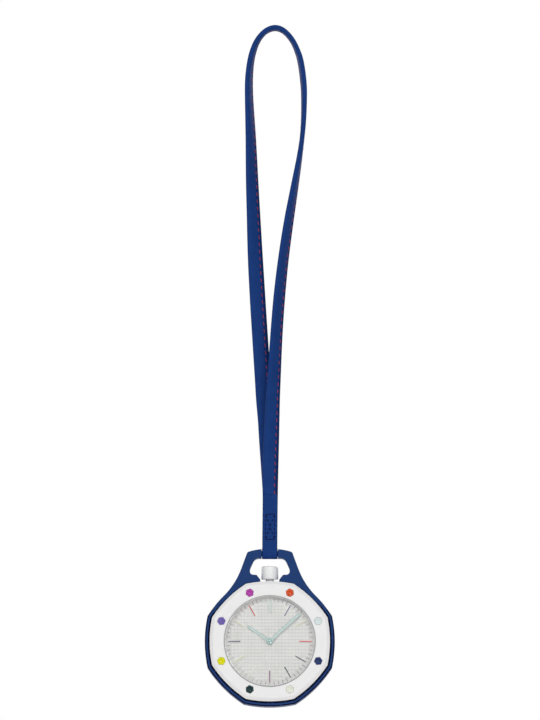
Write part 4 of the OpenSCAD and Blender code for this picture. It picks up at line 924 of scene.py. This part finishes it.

# %% [markdown]
# ## The hands
# The hands are pale green bars with a sunk middle. Their bevels are painted
# darker, as shade where they turn away from the light, and the sunk middle
# holds a paler fill that lies a hair above the metal's floor. A cap and a pin
# close the middle, and both turn with the minute hand.

# %% Hands
# The clock's reading, the inner and outer end of the fill, and the level of the sunk floor
HANDS = {"hour": (10.15, 1.7, 8.3, 6.54), "minute": (7.9 / 5, 1.5, 13.0, 6.94)}
FILL_WIDE, FILL_SUNK, FILL_PROUD = 0.5, 0.02, 0.015
# The dark edge colour paints shade on the hands' bevels.
hand_skin = finish("green hand", (184, 204, 200), (0.25, 0.35), edge=(72, 112, 106), wear=2.6, grain=8000.0,
    Coat_Weight=0.2, Coat_Roughness=0.12, shine=0.35)
hand_fill = finish("pale fill", (200, 216, 212), (0.4, 0.5), grain=14000.0, depth=3e-6, shine=0.3)
for which, (clock, inner, outer, floor_at) in HANDS.items():
    dressed(which + "_hand", which + "_group", "hands", hand_skin, 0.07, sharp=35)
    corners = bar_corners(clock, 0, FILL_WIDE, inner, outer, floor_at - FILL_SUNK, floor_at + FILL_PROUD)
    fill = show(which + "_fill", mesh_of("fill", corners, BAR_QUADS), hand_fill)
    place(fill, which + "_group", "hands")

# %% Turned pieces
def turned_piece(name, profile, material, count=40, closed=False):
    """A solid turned about the hands' axis from (radius, level) pairs, or a ring if closed."""
    points = [head_point(r * math.cos(2 * math.pi * k / count), r * math.sin(2 * math.pi * k / count), z)
        for r, z in profile for k in range(count)]
    mesh = mesh_of(name, points, ring_faces(count, len(profile), closed), smooth=True)
    mesh.set_sharp_from_angle(angle=math.radians(35))
    return show(name, mesh, material)


hub_skin = finish("green hub", (150, 184, 178), (0.15, 0.22), drift=0.06, grain=8000.0, Coat_Weight=0.3,
    Coat_Roughness=0.08)
pin_skin = finish("polished pin", (112, 146, 141), (0.12, 0.2), grain=8000.0, Metallic=0.6)
place(turned_piece("minute_hub", [(0.95, 6.96), (0.95, 7.02), (0.88, 7.06), (0.62, 7.06), (0.55, 7.03)],
    hub_skin), "minute_group", "hands")
place(turned_piece("minute_pin", [(0.42, 7.0), (0.42, 7.08), (0.34, 7.13), (0.14, 7.15)], pin_skin),
    "minute_group", "hands")

# %% [markdown]
# ## Glass and seals
# Sapphire with an anti-reflective film is clear and mirrors little. Blender's
# glass blocks the lamps' shadow rays, yet lets the light bounced off the dial
# find the lamps, which lights the dial wrongly. So for shadow rays and for
# bounced light the glass turns transparent, and the dial is lit as if bare.
# A crystal's rim is ground matt, which shows as a fine grey line around it.

# %% Crystals
crystal, shader = new_material("coated crystal", Base_Color=(1.0, 1.0, 1.0, 1.0), Roughness=0.0,
    Transmission_Weight=1.0, IOR=1.45, Specular_IOR_Level=0.12)
rays = put("ShaderNodeLightPath")
lit = calc(rays["Is Shadow Ray"], "MAXIMUM", rays["Is Diffuse Ray"])
clear = put("ShaderNodeBsdfTransparent")[0]
either = put("ShaderNodeMixShader", {0: lit, 1: shader.outputs[0], 2: clear})[0]
tree.links.new(either, tree.nodes["Material Output"].inputs["Surface"])
coat(crystal, "front_crystal", "back_crystal")
RIM = [(14.66, 7.28), (14.735, 7.28), (14.735, 8.32), (14.66, 8.32)]
ground_glass = finish("ground glass edge", (214, 215, 215), (0.6, 0.7), drift=0.04, depth=2e-6, shine=0.1)
place(turned_piece("crystal_ground_edge", RIM, ground_glass, 192, closed=True), "head", "pale_seal")

# %% Gaskets
# The crystal's gasket is a mid grey, which paints the shade line at the edge of the window.
SEALS = {"pale seal": ((222, 223, 224), "crown_gasket", "crown_tube"),
    "grey seal": ((172, 173, 174), "crystal_gasket")}
for name, (rgb, *parts) in SEALS.items():
    coat(finish(name, rgb, (0.4, 0.5), drift=0.04, depth=3e-6, grain=6000.0), *parts)
rubber = finish("black rubber", (30, 30, 33), (0.5, 0.65), drift=0.2, grain=7000.0, depth=6e-6)
coat(rubber, "bezel_gasket", "back_gasket")
print("seals:", *SEALS, "and", rubber.name)

# %% [markdown]
# ## The movement
# Seen through the back: striped bridges with polished bevels, a spotted
# plate, brass wheels turned in fine rings, steel levers, rubies and one blued
# spring. Each finish is one of the pattern groups laid over a metal.

# %% Metals of the movement
def striped():
    made = use(stripes, Pitch=0.0013, Turn=0.6)
    return calc(made["Mask"], "*", 0.25, "+", made["Height"])


def ringed(x, y):
    return lambda: use(turned_rings, Centre=(x * MM, 0.0, y * MM), Pitch=0.00007)["Height"]


bridge_metal = finish("striped bridge", (172, 173, 180), (0.2, 0.3), edge=(236, 236, 240), wear=1.6, drift=0.1,
    depth=7e-5, pattern=striped, Metallic=1.0, grain=6000.0)
plate_metal = finish("spotted plate", (138, 139, 146), (0.28, 0.38), edge=(228, 228, 232), wear=1.4, drift=0.1,
    depth=4e-5, pattern=lambda: use(spots, Pitch=0.0009)["Height"], Metallic=1.0, grain=6000.0)
steel = finish("polished steel", (186, 188, 194), (0.14, 0.24), edge=(232, 234, 240), wear=1.0, Metallic=1.0,
    drift=0.08)
blued = finish("blued steel", (34, 52, 132), (0.16, 0.26), drift=0.2, Metallic=1.0)
ruby = finish("ruby", (176, 18, 52), (0.06, 0.12), drift=0.2, grain=5000.0, Coat_Weight=0.8,
    Coat_Roughness=0.04, shine=0.8)
print("metals:", bridge_metal.name, plate_metal.name, steel.name, blued.name, ruby.name)

# %% Bridges, plate and levers
for part in ("barrel_bridge", "train_bridge", "balance_cock", "pallet_bridge"):
    dressed(part, "head", "rhodium", bridge_metal, 0.2, sharp=50)
dressed("main_plate", "head", "rhodium", plate_metal, 0.1, sharp=60)
for part, body in (("click", "click_lever"), ("setting_lever", "set_lever"), ("yoke", "yoke_lever"),
        ("click_spring", "head"), ("pallet_fork", "fork_group"), ("bridge_screws", "head")):
    dressed(part, body, "steel", steel, 0.06, sharp=50)

# %% Wheels, springs and jewels
BRASS_WHEELS = {"centre_wheel": (0, 0), "third_wheel": (2.25, -3.9), "fourth_wheel": (5.45, -2.75),
    "hour_wheel": (0, 0), "balance_wheel": (6.76, 4.38), "barrel": (-6.7, 2.44), "minute_wheel": (1.83, 2.223)}
STEEL_WHEELS = {"ratchet_wheel": (-6.7, 2.44), "crown_wheel": (0, 4.54), "escape_wheel": (7.93, -0.57)}
for look, rgb, gloss, depth, wheels in (("turned brass", (206, 172, 98), (0.22, 0.3), 3e-6, BRASS_WHEELS),
        ("snailed steel", (190, 192, 198), (0.18, 0.26), 4e-6, STEEL_WHEELS)):
    for part, axis in wheels.items():
        coat(finish(look + ", " + part.replace("_", " "), rgb, gloss, drift=0.06, grain=6000.0, depth=depth,
            pattern=ringed(*axis), Metallic=1.0), part)
coat(steel, "winding_stem", "mainspring", "barrel_arbor", "cannon_pinion", "winding_pinion", "sliding_pinion",
    "setting_wheel")
coat(blued, "hairspring")
coat(ruby, "jewels")

# %% The ring that holds the movement
ring_skin = finish("off-white ring", (218, 217, 212), (0.35, 0.45), edge=(196, 195, 190), wear=0.5,
    grain=5000.0, depth=3e-6)
dressed("casing_ring", "head", "holder_ring", ring_skin, 0.1, sharp=50)
bare = [name for name, node in nodes.items() if not node.get("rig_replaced") and all(
    slot.material is None or not slot.material.use_nodes for slot in node.material_slots)]
print("nodes without a finish:", bare)

# %% [markdown]
# ## Floor and light
# The watch hangs, so its pale floor lies well below it. Lamps are plain
# softboxes; the white world stands in for a studio's walls, which glass and
# metal mirror. Floor and world look brighter than they shine: Light Path tells
# the rays that see them from those that light the watch.

# %% Floor
FLOOR_LEVEL, FLOOR_HALF = -0.25, 6
corners = [(x * FLOOR_HALF, y * FLOOR_HALF, FLOOR_LEVEL) for x, y in ((-1, -1), (1, -1), (1, 1), (-1, 1))]
pale_floor, shader = new_material("pale floor", Base_Color=(0.8, 0.8, 0.8, 1), Roughness=0.9,
    Emission_Color=(1, 1, 1, 1))
rays = put("ShaderNodeLightPath")
glow = calc(rays["Is Camera Ray"], "MAXIMUM", rays["Is Glossy Ray"], "MAXIMUM",
    rays["Is Transmission Ray"], "*", 0.65)
tree.links.new(glow, shader.inputs["Emission Strength"])
show("floor", mesh_of("floor", corners, [(0, 1, 2, 3)]), pale_floor)
print("floor at", FLOOR_LEVEL, "m")

# %% World
scene.world = bpy.data.worlds.new("studio")
scene.world.use_nodes = True
tree = scene.world.node_tree
rays = put("ShaderNodeLightPath")
through_glass = calc(rays["Diffuse Depth"], "LESS_THAN", 0.5, "*", rays["Is Transmission Ray"])
seen = calc(rays["Is Camera Ray"], "MAXIMUM", rays["Is Glossy Ray"], "MAXIMUM", through_glass, "*", 0.68,
    "+", 0.32)
background = tree.nodes["Background"]
background.inputs["Color"].default_value = (1, 1, 1, 1)
tree.links.new(seen, background.inputs["Strength"])
print("world:", scene.world.name)

# %% Lamps
LAMP_AIM = Vector((0, 0, 0.05))
SOFTBOXES = {"key": ((-0.3, -1.2, 0.62), 0.4, 6.0), "fill": ((0.5, -1.2, 0.2), 0.6, 3.6),
    "back": ((0.5, 0.9, 0.7), 0.6, 5.0), "back fill": ((-0.8, 0.8, 0.1), 0.6, 3.0)}   # place, size, watts
for name, (stand, size, watts) in SOFTBOXES.items():
    lamp = bpy.data.lights.new(name, "AREA")
    lamp.shape, lamp.size, lamp.energy = "SQUARE", size, watts
    softbox = bpy.data.objects.new(name, lamp)
    scene.collection.objects.link(softbox)
    softbox.location = stand
    softbox.rotation_euler = (LAMP_AIM - Vector(stand)).to_track_quat("-Z", "Y").to_euler()
scene.view_settings.view_transform = "Standard"
print("softboxes:", *SOFTBOXES)
